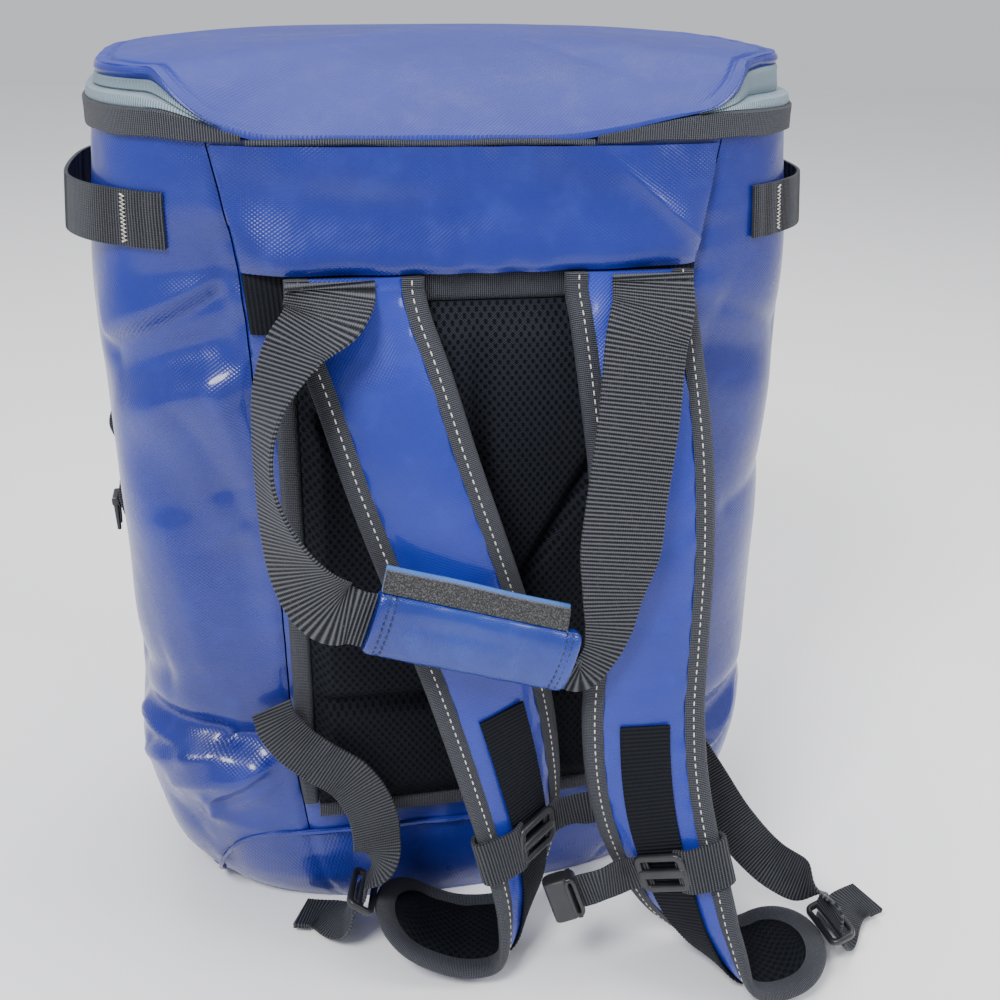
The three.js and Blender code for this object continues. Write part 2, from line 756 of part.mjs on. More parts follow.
const strapPaths = {
  left: route(strapRows.left.map(place)),
  right: route(strapRows.right.map(place)),
};
const edgeGap = 0.8;
const padHalf = strapWidth / 2 - strapEdge - edgeGap;
const padFlat = 0.64;
const strapBody = 0.93;
const strapShares = range(strapSteps).map((t) => t * strapBody);
const tipAngles = [18, 36, 54, 72, 86];

// Padded strap body: six-sided section, rounded tip
function strapPad(side) {
  const path = strapPaths[side];
  const sections = [];
  const push = (frame, half, thick, shift) => {
    const row = (sign) => [
      [-half, strapEdgeThick / 2], [-half * padFlat, thick / 2],
      [half * padFlat, thick / 2], [half, strapEdgeThick / 2],
    ].map(([a, n]) => onFrame(frame, a, sign * n).addScaledVector(frame.along, shift));
    sections.push({ outer: row(1), inner: row(-1) });
  };
  for (const t of strapShares) {
    push(path(t), padHalf, strapThick * (0.55 + 0.45 * smoothstep(0, 0.08, t)), 0);
  }
  for (const degrees of tipAngles) {
    const angle = THREE.MathUtils.degToRad(degrees);
    push(path(strapBody), padHalf * Math.cos(angle), strapThick, strapTip * Math.sin(angle));
  }
  return slab(sections);
}

// Webbing binding down one edge of a strap, round its tip and up the other edge
function strapBinding(side) {
  const path = strapPaths[side];
  const near = padHalf + edgeGap;
  const far = strapWidth / 2;
  const half = strapEdgeThick / 2;
  const sections = [];
  const push = (frame, [nearAcross, farAcross], [nearAlong, farAlong]) => {
    const at = (a, n, s) => onFrame(frame, a, n).addScaledVector(frame.along, s);
    sections.push({
      outer: [at(nearAcross, half, nearAlong), at(farAcross, half * 0.8, farAlong)],
      inner: [at(nearAcross, -half, nearAlong), at(farAcross, -half * 0.8, farAlong)],
    });
  };
  for (const t of strapShares) push(path(t), [-near, -far], [0, 0]);
  const reach = strapTip + edgeGap;
  const turns = [...tipAngles.map((d) => d - 90), ...[...tipAngles].reverse().map((d) => 90 - d)];
  for (const degrees of turns) {
    const sine = Math.sin(THREE.MathUtils.degToRad(degrees));
    const cosine = Math.cos(THREE.MathUtils.degToRad(degrees));
    push(path(strapBody), [near * sine, far * sine], [reach * cosine, (reach + strapEdge) * cosine]);
  }
  for (const t of [...strapShares].reverse()) push(path(t), [near, far], [0, 0]);
  return slab(sections);
}

// Webbing strip sewn down the lower half of a strap
const stripStart = { left: 0.48, right: 0.53 };
const stripFit = 0.8;
const stripLift = strapThick / 2 + stripFit + webThick / 2;

function strapStrip(side) {
  const path = strapPaths[side];
  const sections = strapShares.filter((t) => t > stripStart[side]).map((t) => {
    const frame = path(t);
    const row = (n) => [-webWidth / 2, webWidth / 2].map((a) => onFrame(frame, a, stripLift + n));
    return { outer: row(webThick / 2), inner: row(-webThick / 2) };
  });
  return slab(sections);
}

// Block placed in a frame: size across, along and out of it
function block(frame, size, centre) {
  const geometry = new THREE.BoxGeometry(size.across, size.along, size.out);
  const basis = new THREE.Matrix4().makeBasis(frame.across, frame.along.clone().negate(), frame.out);
  basis.setPosition(onFrame(frame, centre.a, centre.n).addScaledVector(frame.along, centre.s));
  return geometry.applyMatrix4(basis);
}

// Sternum slider: a ladder of two windows that rides on the strap's strip
const sliderAt = { left: 0.612, right: 0.692 };
const sliderRail = 4;
const sliderLift = stripLift + webThick / 2 + 1.4;

function slider(side) {
  const frame = strapPaths[side](sliderAt[side]);
  const shape = new THREE.Shape();
  const [w, h] = [sliderWidth / 2, sliderHeight / 2];
  shape.moveTo(-w, -h).lineTo(w, -h).lineTo(w, h).lineTo(-w, h).closePath();
  const window = new THREE.Path();
  window.moveTo(-w + sliderRail, -h + sliderRail).lineTo(-w + sliderRail, h - sliderRail);
  window.lineTo(w - sliderRail, h - sliderRail).lineTo(w - sliderRail, -h + sliderRail).closePath();
  shape.holes.push(window);
  const geometry = new THREE.ExtrudeGeometry(shape, { depth: sliderThick, bevelEnabled: false });
  const basis = new THREE.Matrix4().makeBasis(frame.across, frame.along.clone().negate(), frame.out);
  basis.setPosition(onFrame(frame, 0, sliderLift));
  return geometry.applyMatrix4(basis);
}

// Webbing that leaves the slider and wraps one edge of the strap, drawn in the
// strap's section: rows of across, out, both as shares of half the strap's width
const wrapGap = 1.4;

function wrap(side, hand) {
  const path = strapPaths[side];
  const at = sliderAt[side];
  const step = 0.5 * sternumWidth / strapLength(side);
  const front = sliderLift + sliderThick / 2;
  const edge = strapWidth / 2;
  const back = strapThick / 2 + stripFit + webThick / 2;
  const rows = [
    [sliderWidth / 2 + wrapGap, front], [edge * 0.78, back + 1], [edge + webThick, strapEdgeThick / 2],
    [edge + webThick, -strapEdgeThick / 2], [edge * 0.78, -back], [edge * 0.35, -back],
  ];
  const half = webThick / 2;
  const sections = rows.map(([a, n], i) => {
    const before = rows[Math.max(i - 1, 0)];
    const after = rows[Math.min(i + 1, rows.length - 1)];
    const run = new THREE.Vector2(after[0] - before[0], after[1] - before[1]).normalize();
    const row = (lift) => [-1, 0, 1].map((k) => (
      onFrame(path(at + k * step), hand * (a - run.y * lift), n + run.x * lift)));
    return { outer: row(half), inner: row(-half) };
  });
  return slab(sections);
}

function strapLength(side) {
  const points = range(40).map((t) => strapPaths[side](t).point);
  return points.slice(1).reduce((sum, point, i) => sum + point.distanceTo(points[i]), 0);
}

// Free sternum webbing: from the slider's inner side through rows of place in the
// part to a buckle half
const sternumRows = {
  left: [
    { x: 0.165, y: 0.158, z: 0.24, yaw: 90, tilt: 86 },
    { x: 0.2, y: 0.15, z: 0.24, yaw: 90, tilt: 86 },
  ],
  right: [
    { x: 0.155, y: 0.292, z: 0.172, yaw: 90, tilt: 84 },
    { x: 0.125, y: 0.285, z: 0.162, yaw: 90, tilt: 84 },
  ],
};

const sliderHand = { left: 1, right: -1 };
const sternumLead = 5;

function sternumRoute(side) {
  const frame = strapPaths[side](sliderAt[side]);
  const start = onFrame(
    frame,
    sliderHand[side] * (sliderWidth / 2 + wrapGap + sternumLead),
    sliderLift + sliderThick / 2,
  );
  const yaw = THREE.MathUtils.radToDeg(Math.atan2(-frame.along.y, -frame.along.x));
  const tilt = THREE.MathUtils.radToDeg(Math.asin(-frame.along.z));
  return [
    { x: start.x, y: start.y, z: start.z, yaw, tilt },
    ...sternumRows[side].map(place),
  ];
}

function sternumWeb(side) {
  const frame = strapPaths[side](sliderAt[side]);
  const hand = sliderHand[side];
  const lift = sliderLift + sliderThick / 2;
  const row = (n) => [1, -1].map((k) => (
    onFrame(frame, hand * (sliderWidth / 2 + wrapGap / 2), lift + hand * n)
      .addScaledVector(frame.along, (k * sternumWidth) / 2)));
  const root = { outer: row(webThick / 2), inner: row(-webThick / 2) };
  return slab([root, ...ribbonSections(sternumRoute(side), 8, sternumWidth, webThick)]);
}

function buckle(side) {
  const frame = route(sternumRoute(side))(1);
  return block(
    frame,
    { across: buckleHeight, along: buckleWidth, out: buckleThick },
    { a: 0, n: 0, s: buckleWidth / 2 + fit },
  );
}

// Ladder adjuster past the tip of a strap
function adjusterFrame(side) {
  const frame = strapPaths[side](strapBody);
  frame.point.addScaledVector(frame.along, strapTip + edgeGap + strapEdge + fit + adjusterHeight / 2);
  return frame;
}

function adjuster(side) {
  return block(
    adjusterFrame(side),
    { across: webWidth + 6, along: adjusterHeight, out: adjusterThick },
    { a: 0, n: 0, s: 0 },
  );
}

// Lower webbing from the foot of the back seam to the adjuster
const lowerRows = {
  left: [
    { x: -0.3, y: 0.022, z: 0.405, yaw: 0, tilt: 56 },
    { x: -0.292, y: 0.045, z: 0.385, yaw: 0, tilt: 56 },
    { x: -0.27, y: 0.066, z: 0.36, yaw: 0, tilt: 54 },
    { x: -0.236, y: 0.085, z: 0.335, yaw: 0, tilt: 50 },
    { x: -0.194, y: 0.098, z: 0.305, yaw: 0, tilt: 40 },
    { x: -0.166, y: 0.111, z: 0.255, yaw: 0, tilt: 24 },
    { x: -0.16, y: 0.116, z: 0.195, yaw: 0, tilt: 8 },
  ],
  right: [
    { x: 0.272, y: 0.025, z: 0.37, yaw: 0, tilt: 30 },
    { x: 0.315, y: 0.045, z: 0.3, yaw: 0, tilt: 34 },
    { x: 0.36, y: 0.085, z: 0.23, yaw: 0, tilt: 34 },
    { x: 0.4, y: 0.14, z: 0.17, yaw: 0, tilt: 32 },
    { x: 0.45, y: 0.2, z: 0.12, yaw: -8, tilt: 26 },
  ],
};

function lowerWeb(side) {
  const frame = adjusterFrame(side);
  const end = onFrame(frame, 0, -adjusterThick / 2 - webThick / 2 - fit);
  const lift = onFrame(frame, 0, -14).addScaledVector(frame.along, 3);
  const yaw = THREE.MathUtils.radToDeg(Math.atan2(frame.across.y, frame.across.x));
  const turn = side === 'left' ? yaw - 180 : yaw;
  const rows = [
    ...lowerRows[side].map(place),
    { x: lift.x, y: lift.y, z: lift.z, yaw: turn, tilt: 0 },
    { x: end.x, y: end.y, z: end.z, yaw: turn, tilt: 0 },
  ];
  return ribbon(rows, 24, webWidth, webThick);
}

// Loose ends of the lower webbing: out of the adjuster's face and down to the floor
const tailRows = {
  left: [
    { x: -0.2, y: 0.08, z: 0.066, yaw: 82, tilt: 0 },
    { x: -0.214, y: 0.04, z: 0.03, yaw: 82, tilt: -4 },
    { x: -0.24, y: -0.012, z: 0.014, yaw: 84, tilt: -8 },
    { x: -0.277, y: -0.034, z: 0.012, yaw: 84, tilt: -8 },
  ],
  right: [
    { x: 0.545, y: 0.305, z: 0.026, yaw: -83, tilt: 0 },
    { x: 0.565, y: 0.258, z: 0.019, yaw: -80, tilt: 0 },
    { x: 0.593, y: 0.217, z: 0.019, yaw: -78, tilt: 0 },
    { x: 0.636, y: 0.196, z: 0.02, yaw: -78, tilt: 0 },
  ],
};

function tail(side) {
  const frame = adjusterFrame(side);
  const reach = adjusterThick / 2 + softFit;
  const row = (n) => [-1, 1].map((k) => (
    onFrame(frame, (k * webWidth) / 2, reach).addScaledVector(frame.along, -n)));
  const root = { outer: row(webThick / 2), inner: row(-webThick / 2) };
  const start = onFrame(frame, 0, reach + 4);
  const yaw = THREE.MathUtils.radToDeg(Math.atan2(frame.across.y, frame.across.x));
  const rows = [{ x: start.x, y: start.y, z: start.z, yaw, tilt: 0 }, ...tailRows[side].map(place)];
  return slab([root, ...ribbonSections(rows, 10, webWidth, webThick)]);
}

// Carry handle strands from the yoke to the two ends of the grip
const handleRows = {
  left: [
    { x: -0.192, y: 0.062, z: 1.0, yaw: 0, tilt: 0 },
    { x: -0.192, y: 0.066, z: 0.988, yaw: 0, tilt: 0 },
    { x: -0.205, y: 0.108, z: 0.965, yaw: -22, tilt: 0 },
    { x: -0.242, y: 0.143, z: 0.935, yaw: -54, tilt: 0 },
    { x: -0.277, y: 0.183, z: 0.878, yaw: -76, tilt: 0 },
    { x: -0.288, y: 0.213, z: 0.808, yaw: -80, tilt: 0 },
    { x: -0.274, y: 0.234, z: 0.73, yaw: -66, tilt: 10 },
    { x: -0.246, y: 0.247, z: 0.665, yaw: -42, tilt: 25 },
    { x: -0.215, y: 0.256, z: 0.63, yaw: -15, tilt: 45, share: 0.9 },
  ],
  right: [
    { x: 0.227, y: 0.062, z: 1.0, yaw: 0, tilt: 0 },
    { x: 0.227, y: 0.066, z: 0.988, yaw: 0, tilt: 0 },
    { x: 0.222, y: 0.1, z: 0.965, yaw: 0, tilt: 0 },
    { x: 0.207, y: 0.14, z: 0.927, yaw: 0, tilt: -4 },
    { x: 0.19, y: 0.2, z: 0.835, yaw: 0, tilt: -6 },
    { x: 0.173, y: 0.235, z: 0.74, yaw: 0, tilt: -6 },
    { x: 0.164, y: 0.254, z: 0.675, yaw: 0, tilt: -8 },
    { x: 0.156, y: 0.26, z: 0.617, yaw: 0, tilt: -12, share: 0.77 },
    { x: 0.152, y: 0.263, z: 0.574, yaw: 0, tilt: -22, share: 0.62 },
    { x: 0.142, y: 0.264, z: 0.54, yaw: 0, tilt: -55, share: 0.5 },
  ],
};
const gripCentre = place({ x: -0.034, y: 0.265, z: 0.573 });
const gripTilt = -18.5;

function gripFrame() {
  const angle = THREE.MathUtils.degToRad(gripTilt);
  return {
    point: new THREE.Vector3(gripCentre.x, gripCentre.y, gripCentre.z),
    along: new THREE.Vector3(Math.cos(angle), 0, Math.sin(angle)),
    across: new THREE.Vector3(-Math.sin(angle), 0, Math.cos(angle)),
    out: new THREE.Vector3(0, -1, 0),
  };
}

const strandEnd = { left: { drop: 0, share: 0.7 }, right: { drop: 6, share: 0.46 } };

function handleStrand(side) {
  const frame = gripFrame();
  const hand = side === 'left' ? -1 : 1;
  const { drop, share } = strandEnd[side];
  const at = (reach) => {
    const point = onFrame(frame, -drop, 0).addScaledVector(frame.along, hand * (gripLength / 2 + reach));
    return { x: point.x, y: point.y, z: point.z };
  };
  const tilt = gripTilt - 90 * hand;
  const rows = [
    ...handleRows[side].map(place),
    { ...at(8), yaw: 0, tilt, share },
    { ...at(softFit), yaw: 0, tilt, share },
  ];
  return ribbon(rows, 26, handleWidth, handleThick);
}

// Grip sleeve: flattened round section, drawn from top to bottom on each face
function gripSleeve() {
  const frame = gripFrame();
  const angles = [90, 55, 20, -20, -55, -90];
  const sections = [-1, -0.94, 0, 0.94, 1].map((share) => {
    const full = Math.abs(share) === 1 ? 0.9 : 1;
    const row = (sign) => angles.map((degrees) => {
      const angle = THREE.MathUtils.degToRad(degrees);
      const a = (gripHeight / 2) * Math.sin(angle) * full;
      const n = sign * (gripThick / 2) * Math.max(Math.cos(angle), 0.12) ** 0.6 * full;
      return onFrame(frame, a, n).addScaledVector(frame.along, (share * gripLength) / 2);
    });
    return { outer: row(1), inner: row(-1) };
  });
  return slab(sections);
}

// Strip along the top of the grip, leaning back, at a distance in front of its middle
function gripStrip(front, width, thick) {
  const frame = gripFrame();
  const low = gripHeight / 2 + fit;
  const lean = 0.55;
  const sections = [-gripLength / 2, gripLength / 2 - gripTapeShort].map((reach) => {
    const at = (a, n) => onFrame(frame, a, n).addScaledVector(frame.along, reach);
    return {
      outer: [at(low, front), at(low + width * Math.cos(lean), front - width * Math.sin(lean))],
      inner: [at(low, front - thick), at(low + width * Math.cos(lean), front - thick - width * Math.sin(lean))],
    };
  });
  return slab(sections);
}

// Grab loops at the top of the sides: sewn at both ends, standing off between
const grabRows = [
  { around: 0.232, lift: 0.05 },
  { around: 0.275, lift: 0.04 },
  { around: 0.32, lift: 0.45 },
  { around: 0.37, lift: 0.86 },
  { around: 0.43, lift: 1 },
  { around: 0.5, lift: 0.98 },
  { around: 0.56, lift: 0.8 },
  { around: 0.61, lift: 0.4 },
  { around: 0.65, lift: 0 },
  { around: 0.69, lift: 0 },
];
const grabHeight = 0.92;

function grabLoop(side) {
  const sign = side === 'left' ? -1 : 1;
  const middle = grabHeight * bodyHeight;
  const from = grabRows[0].around;
  const to = grabRows[grabRows.length - 1].around;
  const sections = range(18).map((share) => {
    const turn = from + share * (to - from);
    const off = Math.max(lookup(grabRows, 'around', turn, 'lift'), 0) * grabLoopLift;
    const row = (lift) => [-1, 0, 1].map((k) => (
      skin(sign * turn, middle + (k * grabLoopWidth) / 2, softFit + off + lift)));
    return { outer: row(webThick), inner: row(0) };
  });
  return slab(sections);
}

// Daisy-chain webbing down the sides, standing off in small loops
const daisyRows = [
  { down: 0, lift: 0 },
  { down: 0.17, lift: 0 },
  { down: 0.27, lift: 1 },
  { down: 0.36, lift: 0.1 },
  { down: 0.45, lift: 0 },
  { down: 0.54, lift: 0.7 },
  { down: 0.6, lift: 1.1 },
  { down: 0.66, lift: 0.7 },
  { down: 0.74, lift: 0 },
  { down: 1, lift: 0 },
];
const daisyLift = 3.4;
const daisyTurn = 0.51;

function daisyPoint(side, down, along, lift) {
  const sign = side === 'left' ? -1 : 1;
  const height = daisyTop + down * (daisyBottom - daisyTop);
  return skin(sign * (daisyTurn + along / halfGirth), height, lift);
}

function daisyStrip(side) {
  const sections = range(20).map((down) => {
    const off = Math.max(lookup(daisyRows, 'down', down, 'lift'), 0) * daisyLift;
    const row = (lift) => [-1, 1].map((k) => (
      daisyPoint(side, down, (k * daisyWidth) / 2, fit + 0.2 + off + lift)));
    return { outer: row(webThick), inner: row(0) };
  });
  return slab(sections);
}

// Plastic clip that hangs on the larger daisy loop
function daisyClip(side) {
  const start = 0.6;
  const lengthShare = clipHeight / (daisyTop - daisyBottom);
  const off = 1.1 * daisyLift + webThick + 2 * fit + 0.2;
  const sections = range(4).map((share) => {
    const down = start + share * lengthShare;
    const row = (lift) => [-1, 1].map((k) => (
      daisyPoint(side, down, (k * clipWidth * (1 - 0.35 * share)) / 2, off + lift)));
    return { outer: row(clipThick * (1 - 0.3 * share)), inner: row(0) };
  });
  return slab(sections);
}

// Zip slider and its puller at the middle of the front
function zipSlider() {
  const { point } = outline(1, bodyHeight);
  const geometry = new THREE.BoxGeometry(10, 5, 8);
  return geometry.translate(point.x, point.y + 2.5 + fit, zipMiddle);
}

function zipPuller() {
  const { point } = outline(1, bodyHeight);
  const geometry = new THREE.BoxGeometry(9, 2.5, 34);
  return geometry.translate(point.x, point.y + 5 + 2 * fit + 1.25, zipMiddle - 15);
}

add('side_wall', sideWall(), 'tarp');
add('back_wall', backWall(), 'tarp');
add('base_wall', baseWall(), 'tarp');
add('base_welt', baseWelt(), 'tarp');
add('rim_binding', rimBand(), 'web');
add('hinge_binding', hingeBinding(), 'web');
add('zip_tape_lower', zipTape(false), 'zip');
add('zip_tape_upper', zipTape(true), 'zip');
add('zip_slider', zipSlider(), 'plastic');
add('zip_puller', zipPuller(), 'plastic');
add('lid_gusset', lidGusset(), 'tarp');
add('lid_top', lidTop(), 'tarp');
add('yoke_panel', yokePanel(), 'tarp');
add('back_pad', backPad(), 'mesh');
add('pad_binding_bottom', padStrip(
  { x: -padWidth / 2, low: padBottom - fit - padBinding, high: padBottom - fit },
  { x: padWidth / 2 },
  12,
  padBindingThick,
), 'web');
add('pad_binding_top', padStrip(
  { x: -padNeck + 8, low: padTop + fit, high: yokeFoot - fit },
  { x: padNeck - 8 },
  6,
  padBindingThick,
), 'web');
for (const side of ['left', 'right']) {
  const sign = side === 'left' ? -1 : 1;
  add(`yoke_tab_${side}`, yokeTab(sign), 'web');
  add(`pad_binding_${side}`, padSideBinding(sign), 'web');
  add(`strap_pad_${side}`, strapPad(side), 'tarp');
  add(`strap_binding_${side}`, strapBinding(side), 'web');
  add(`strap_strip_${side}`, strapStrip(side), 'web');
  add(`sternum_slider_${side}`, slider(side), 'plastic');
  add(`sternum_wrap_${side}`, wrap(side, sign), 'web');
  add(`sternum_webbing_${side}`, sternumWeb(side), 'web');
  add(`sternum_buckle_${side}`, buckle(side), 'plastic');
  add(`adjuster_${side}`, adjuster(side), 'plastic');
  add(`lower_webbing_${side}`, lowerWeb(side), 'web');
  add(`webbing_tail_${side}`, tail(side), 'web');
  add(`handle_webbing_${side}`, handleStrand(side), 'web');
  add(`grab_loop_${side}`, grabLoop(side), 'web');
  add(`daisy_strip_${side}`, daisyStrip(side), 'web');
  add(`daisy_clip_${side}`, daisyClip(side), 'plastic');
}
add('grip_sleeve', gripSleeve(), 'tarp');
add('grip_hook_tape', gripStrip(3, gripTape, 1.5), 'web');
add('grip_flap', gripStrip(3 - 1.5 - fit, gripTape + 1.5, 1), 'tarp');

export default backpack;
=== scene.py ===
# Cooler backpack: surfaces, materials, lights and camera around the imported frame.
# Shapes are worked out in millimetres in the frame's axes: +Z up, harness towards -Y.
import json
import math

import bmesh
import bpy
import numpy as np
from mathutils import Matrix, Vector

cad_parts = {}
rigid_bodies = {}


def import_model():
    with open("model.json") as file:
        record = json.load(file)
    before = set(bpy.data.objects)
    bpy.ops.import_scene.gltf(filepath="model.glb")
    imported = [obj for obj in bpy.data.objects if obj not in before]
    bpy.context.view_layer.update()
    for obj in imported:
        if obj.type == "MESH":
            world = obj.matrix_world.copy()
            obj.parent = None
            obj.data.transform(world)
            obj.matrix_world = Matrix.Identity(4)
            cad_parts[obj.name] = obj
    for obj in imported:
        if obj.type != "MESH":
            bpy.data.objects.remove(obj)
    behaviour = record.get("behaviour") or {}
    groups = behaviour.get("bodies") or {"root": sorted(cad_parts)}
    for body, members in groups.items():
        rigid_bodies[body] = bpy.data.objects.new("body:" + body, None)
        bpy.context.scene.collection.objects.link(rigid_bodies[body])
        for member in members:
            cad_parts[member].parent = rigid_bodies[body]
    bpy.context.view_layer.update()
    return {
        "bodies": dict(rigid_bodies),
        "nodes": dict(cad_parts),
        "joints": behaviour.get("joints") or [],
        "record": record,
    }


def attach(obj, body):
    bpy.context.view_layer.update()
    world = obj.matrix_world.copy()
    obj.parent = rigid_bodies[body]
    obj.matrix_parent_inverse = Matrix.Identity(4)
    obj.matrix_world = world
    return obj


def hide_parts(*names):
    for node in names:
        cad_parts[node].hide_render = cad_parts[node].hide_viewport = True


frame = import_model()

MM = 0.001

# Clearance between neighbours, and height at which trim sits above the cloth
GAP = 0.3
SEAT = 0.6

# Driving sizes of the box
BODY_WIDTH = 350
BODY_DEPTH = 235
BODY_HEIGHT = 425
WALL = 12
BASE_SEAM_RISE = 62
LID_RISE = 27
LID_LEAN = 8
LID_CORNER_TUCK = 9
LID_INSET = 5
HALF_GIRTH = 0.85 * (BODY_WIDTH + BODY_DEPTH)

# Rim, zip and back panel
RIM_HEIGHT = 13
RIM_THICK = 1.6
TAPE_HEIGHT = 4.2
GUSSET_HEIGHT = 5
HINGE_WIDTH = 5
YOKE_HEIGHT = 54
YOKE_THICK = 11
PAD_WIDTH = 166
PAD_TOP = 356
PAD_BOTTOM = 85
PAD_THICK = 12
PAD_BINDING = 10
BINDING_THICK = 4
PAD_NECK = 50

# Webbing and straps
HAND = {"left": -1, "right": 1}
STRAP_WIDTH = 62
STRAP_THICK = 9
STRAP_EDGE = 10
STRAP_TIP = 17
WEB_WIDTH = 25
WEB_THICK = 1.6
STERNUM_WIDTH = 20
HANDLE_WIDTH = 39
HANDLE_THICK = 1.8
GRIP_LENGTH = 98
GRIP_HEIGHT = 32
GRIP_THICK = 14

BODY_ROWS = {
    "height": (0, 0.03, 0.075, 0.145, 0.225, 0.3, 0.48, 0.67, 0.8, 0.93, 1),
    "half": (0.42, 0.448, 0.474, 0.492, 0.503, 0.495, 0.494, 0.497, 0.5, 0.489, 0.479),
    "back": (0.4, 0.425, 0.446, 0.459, 0.468, 0.466, 0.466, 0.467, 0.468, 0.466, 0.464),
    "front": (0.455, 0.485, 0.512, 0.525, 0.532, 0.53, 0.53, 0.532, 0.532, 0.53, 0.528),
    "back_square": (2.6, 2.8, 3.1, 3.6, 3.9, 4, 4, 4, 4, 4, 4),
    "front_square": (2.5, 2.6, 2.7, 2.8, 2.9, 2.9, 2.9, 2.9, 2.9, 2.9, 2.9),
}
SEAM_ROWS = {
    "height": (0, 0.16, 0.25, 0.49, 0.675, 0.866, 1),
    "half": (0.235, 0.257, 0.269, 0.277, 0.289, 0.304, 0.33),
}
BASE_SEAM_ROWS = {
    "around": (0, 0.16, 0.21, 0.27, 0.32, 0.4, 1),
    "rise": (1, 1, 0.93, 0.42, 0.1, 0.08, 0.08),
}

# Large dents: place on the girth and height, reach in shares of the width, depth in
# shares of the wall, tilt in degrees from level
DENTS = [
    # around, height, long, wide, depth, tilt
    (-0.19, 0.87, 0.1, 0.07, 0.4, 0),
    (-0.225, 0.778, 0.13, 0.034, 0.8, 20),
    (-0.24, 0.715, 0.12, 0.04, -0.35, 20),
    (-0.23, 0.58, 0.05, 0.13, 0.45, 25),
    (-0.235, 0.292, 0.15, 0.026, 1.0, -3),
    (-0.23, 0.235, 0.12, 0.036, -0.4, -6),
    (-0.25, 0.16, 0.06, 0.03, 0.35, 30),
    (0.235, 0.76, 0.1, 0.045, 0.4, -15),
    (0.27, 0.255, 0.11, 0.032, 0.65, 14),
    (1.0, 0.42, 0.3, 0.24, 0.3, 0),
    (0.86, 0.2, 0.2, 0.035, 0.35, 12),
]


def smoothstep(start, end, at):
    t = np.clip((np.asarray(at, float) - start) / (end - start), 0, 1)
    return t * t * (3 - 2 * t)


def unit(vectors):
    return vectors / np.linalg.norm(vectors, axis=-1, keepdims=True)


def bell(away, reach):
    return np.exp(-((away / reach) ** 2))


def pucker(at, pitch, drift, wander=1.0):
    """Uneven ripple along a seam."""
    return np.sin(at / pitch + wander * np.sin(at / drift))


def cubic(t, start, start_slope, end, end_slope):
    """Curve between two values with a slope at each."""
    t2 = t * t
    t3 = t2 * t
    return (
        (2 * t3 - 3 * t2 + 1) * start
        + (t3 - 2 * t2 + t) * start_slope
        + (3 * t2 - 2 * t3) * end
        + (t3 - t2) * end_slope
    )


def lookup(rows, key, at, column):
    """Smooth value of one column of a table along its key column."""
    x = np.asarray(rows[key], float)
    y = np.asarray(rows[column], float)
    at = np.clip(np.asarray(at, float), x[0], x[-1])
    last = len(x) - 1
    i = np.clip(np.searchsorted(x, at, side="right") - 1, 0, last - 1)
    before = np.maximum(i - 1, 0)
    after = np.minimum(i + 2, last)
    span = x[i + 1] - x[i]
    t = (at - x[i]) / span
    start_slope = (y[i + 1] - y[before]) / (x[i + 1] - x[before]) * span
    end_slope = (y[after] - y[i]) / (x[after] - x[i]) * span
    return cubic(t, y[i], start_slope, y[i + 1], end_slope)


def body_row(share, column):
    return lookup(BODY_ROWS, "height", share, column)


def signed(around):
    """Place on the girth from -1 to 1, with 0 at the middle of the back."""
    return (np.asarray(around, float) + 1) % 2 - 1


def outline(around, height):
    """Point and outward direction of the undented box."""
    around, height = np.broadcast_arrays(np.asarray(around, float), np.asarray(height, float))
    share = height / BODY_HEIGHT
    sideways = np.sin(around * math.pi)
    backwards = np.cos(around * math.pi)
    back = backwards > 0
    half = body_row(share, "half") * BODY_WIDTH
    depth = BODY_DEPTH * np.where(back, body_row(share, "back"), body_row(share, "front"))
    square = np.where(back, body_row(share, "back_square"), body_row(share, "front_square"))
    reach = (np.abs(sideways) ** square + np.abs(backwards) ** square) ** (-1 / square)
    u = reach * sideways
    v = -reach * backwards
    normal = [np.sign(k) * np.abs(k) ** (square - 1) / size for k, size in ((u, half), (v, depth))]
    return np.stack([half * u, depth * v, height], -1), unit(np.stack([*normal, 0 * u], -1))


def dent_depth(around, height):
    turn_at = signed(around)
    total = np.zeros(np.broadcast(turn_at, height).shape)
    for at, level, length, width, depth, tilt in DENTS:
        across = signed(turn_at - at) * HALF_GIRTH
        up = height - level * BODY_HEIGHT
        angle = math.radians(tilt)
        p = (across * math.cos(angle) + up * math.sin(angle)) / (length * BODY_WIDTH)
        q = (up * math.cos(angle) - across * math.sin(angle)) / (width * BODY_WIDTH)
        total += depth * WALL * np.exp(-p * p - q * q)
    share = height / BODY_HEIGHT
    fade = smoothstep(0, 0.06, share) * (1 - smoothstep(0.9, 0.97, share))
    return total * fade * smoothstep(0.165, 0.2, np.abs(turn_at))


def skin(around, height, lift=0.0):
    point, normal = outline(around, height)
    push = np.asarray(lift, float) - dent_depth(around, height)
    return point + normal * push[..., None]


def rim(around, height, lift=0.0):
    """Point above the rim that follows the rim's outline."""
    around, height, lift = np.broadcast_arrays(around, np.asarray(height, float), lift)
    point, normal = outline(around, np.full(around.shape, float(BODY_HEIGHT)))
    point = point + normal * np.asarray(lift, float)[..., None]
    point[..., 2] = height
    return point


def around_at(x, height):
    share = np.asarray(height, float) / BODY_HEIGHT
    square = body_row(share, "back_square")
    across = np.abs(x) / (body_row(share, "half") * BODY_WIDTH)
    deep = (1 - np.minimum(across, 0.999) ** square) ** (1 / square)
    return np.sign(x) * np.arctan2(across, deep) / math.pi


def on_back(x, height, lift=0.0):
    """Point of the back panel at this x."""
    x, height, lift = (k.astype(float) for k in np.broadcast_arrays(x, height, lift))
    return skin(around_at(x, height), height, lift)


def seam_x(height):
    return lookup(SEAM_ROWS, "height", np.asarray(height, float) / BODY_HEIGHT, "half") * BODY_WIDTH


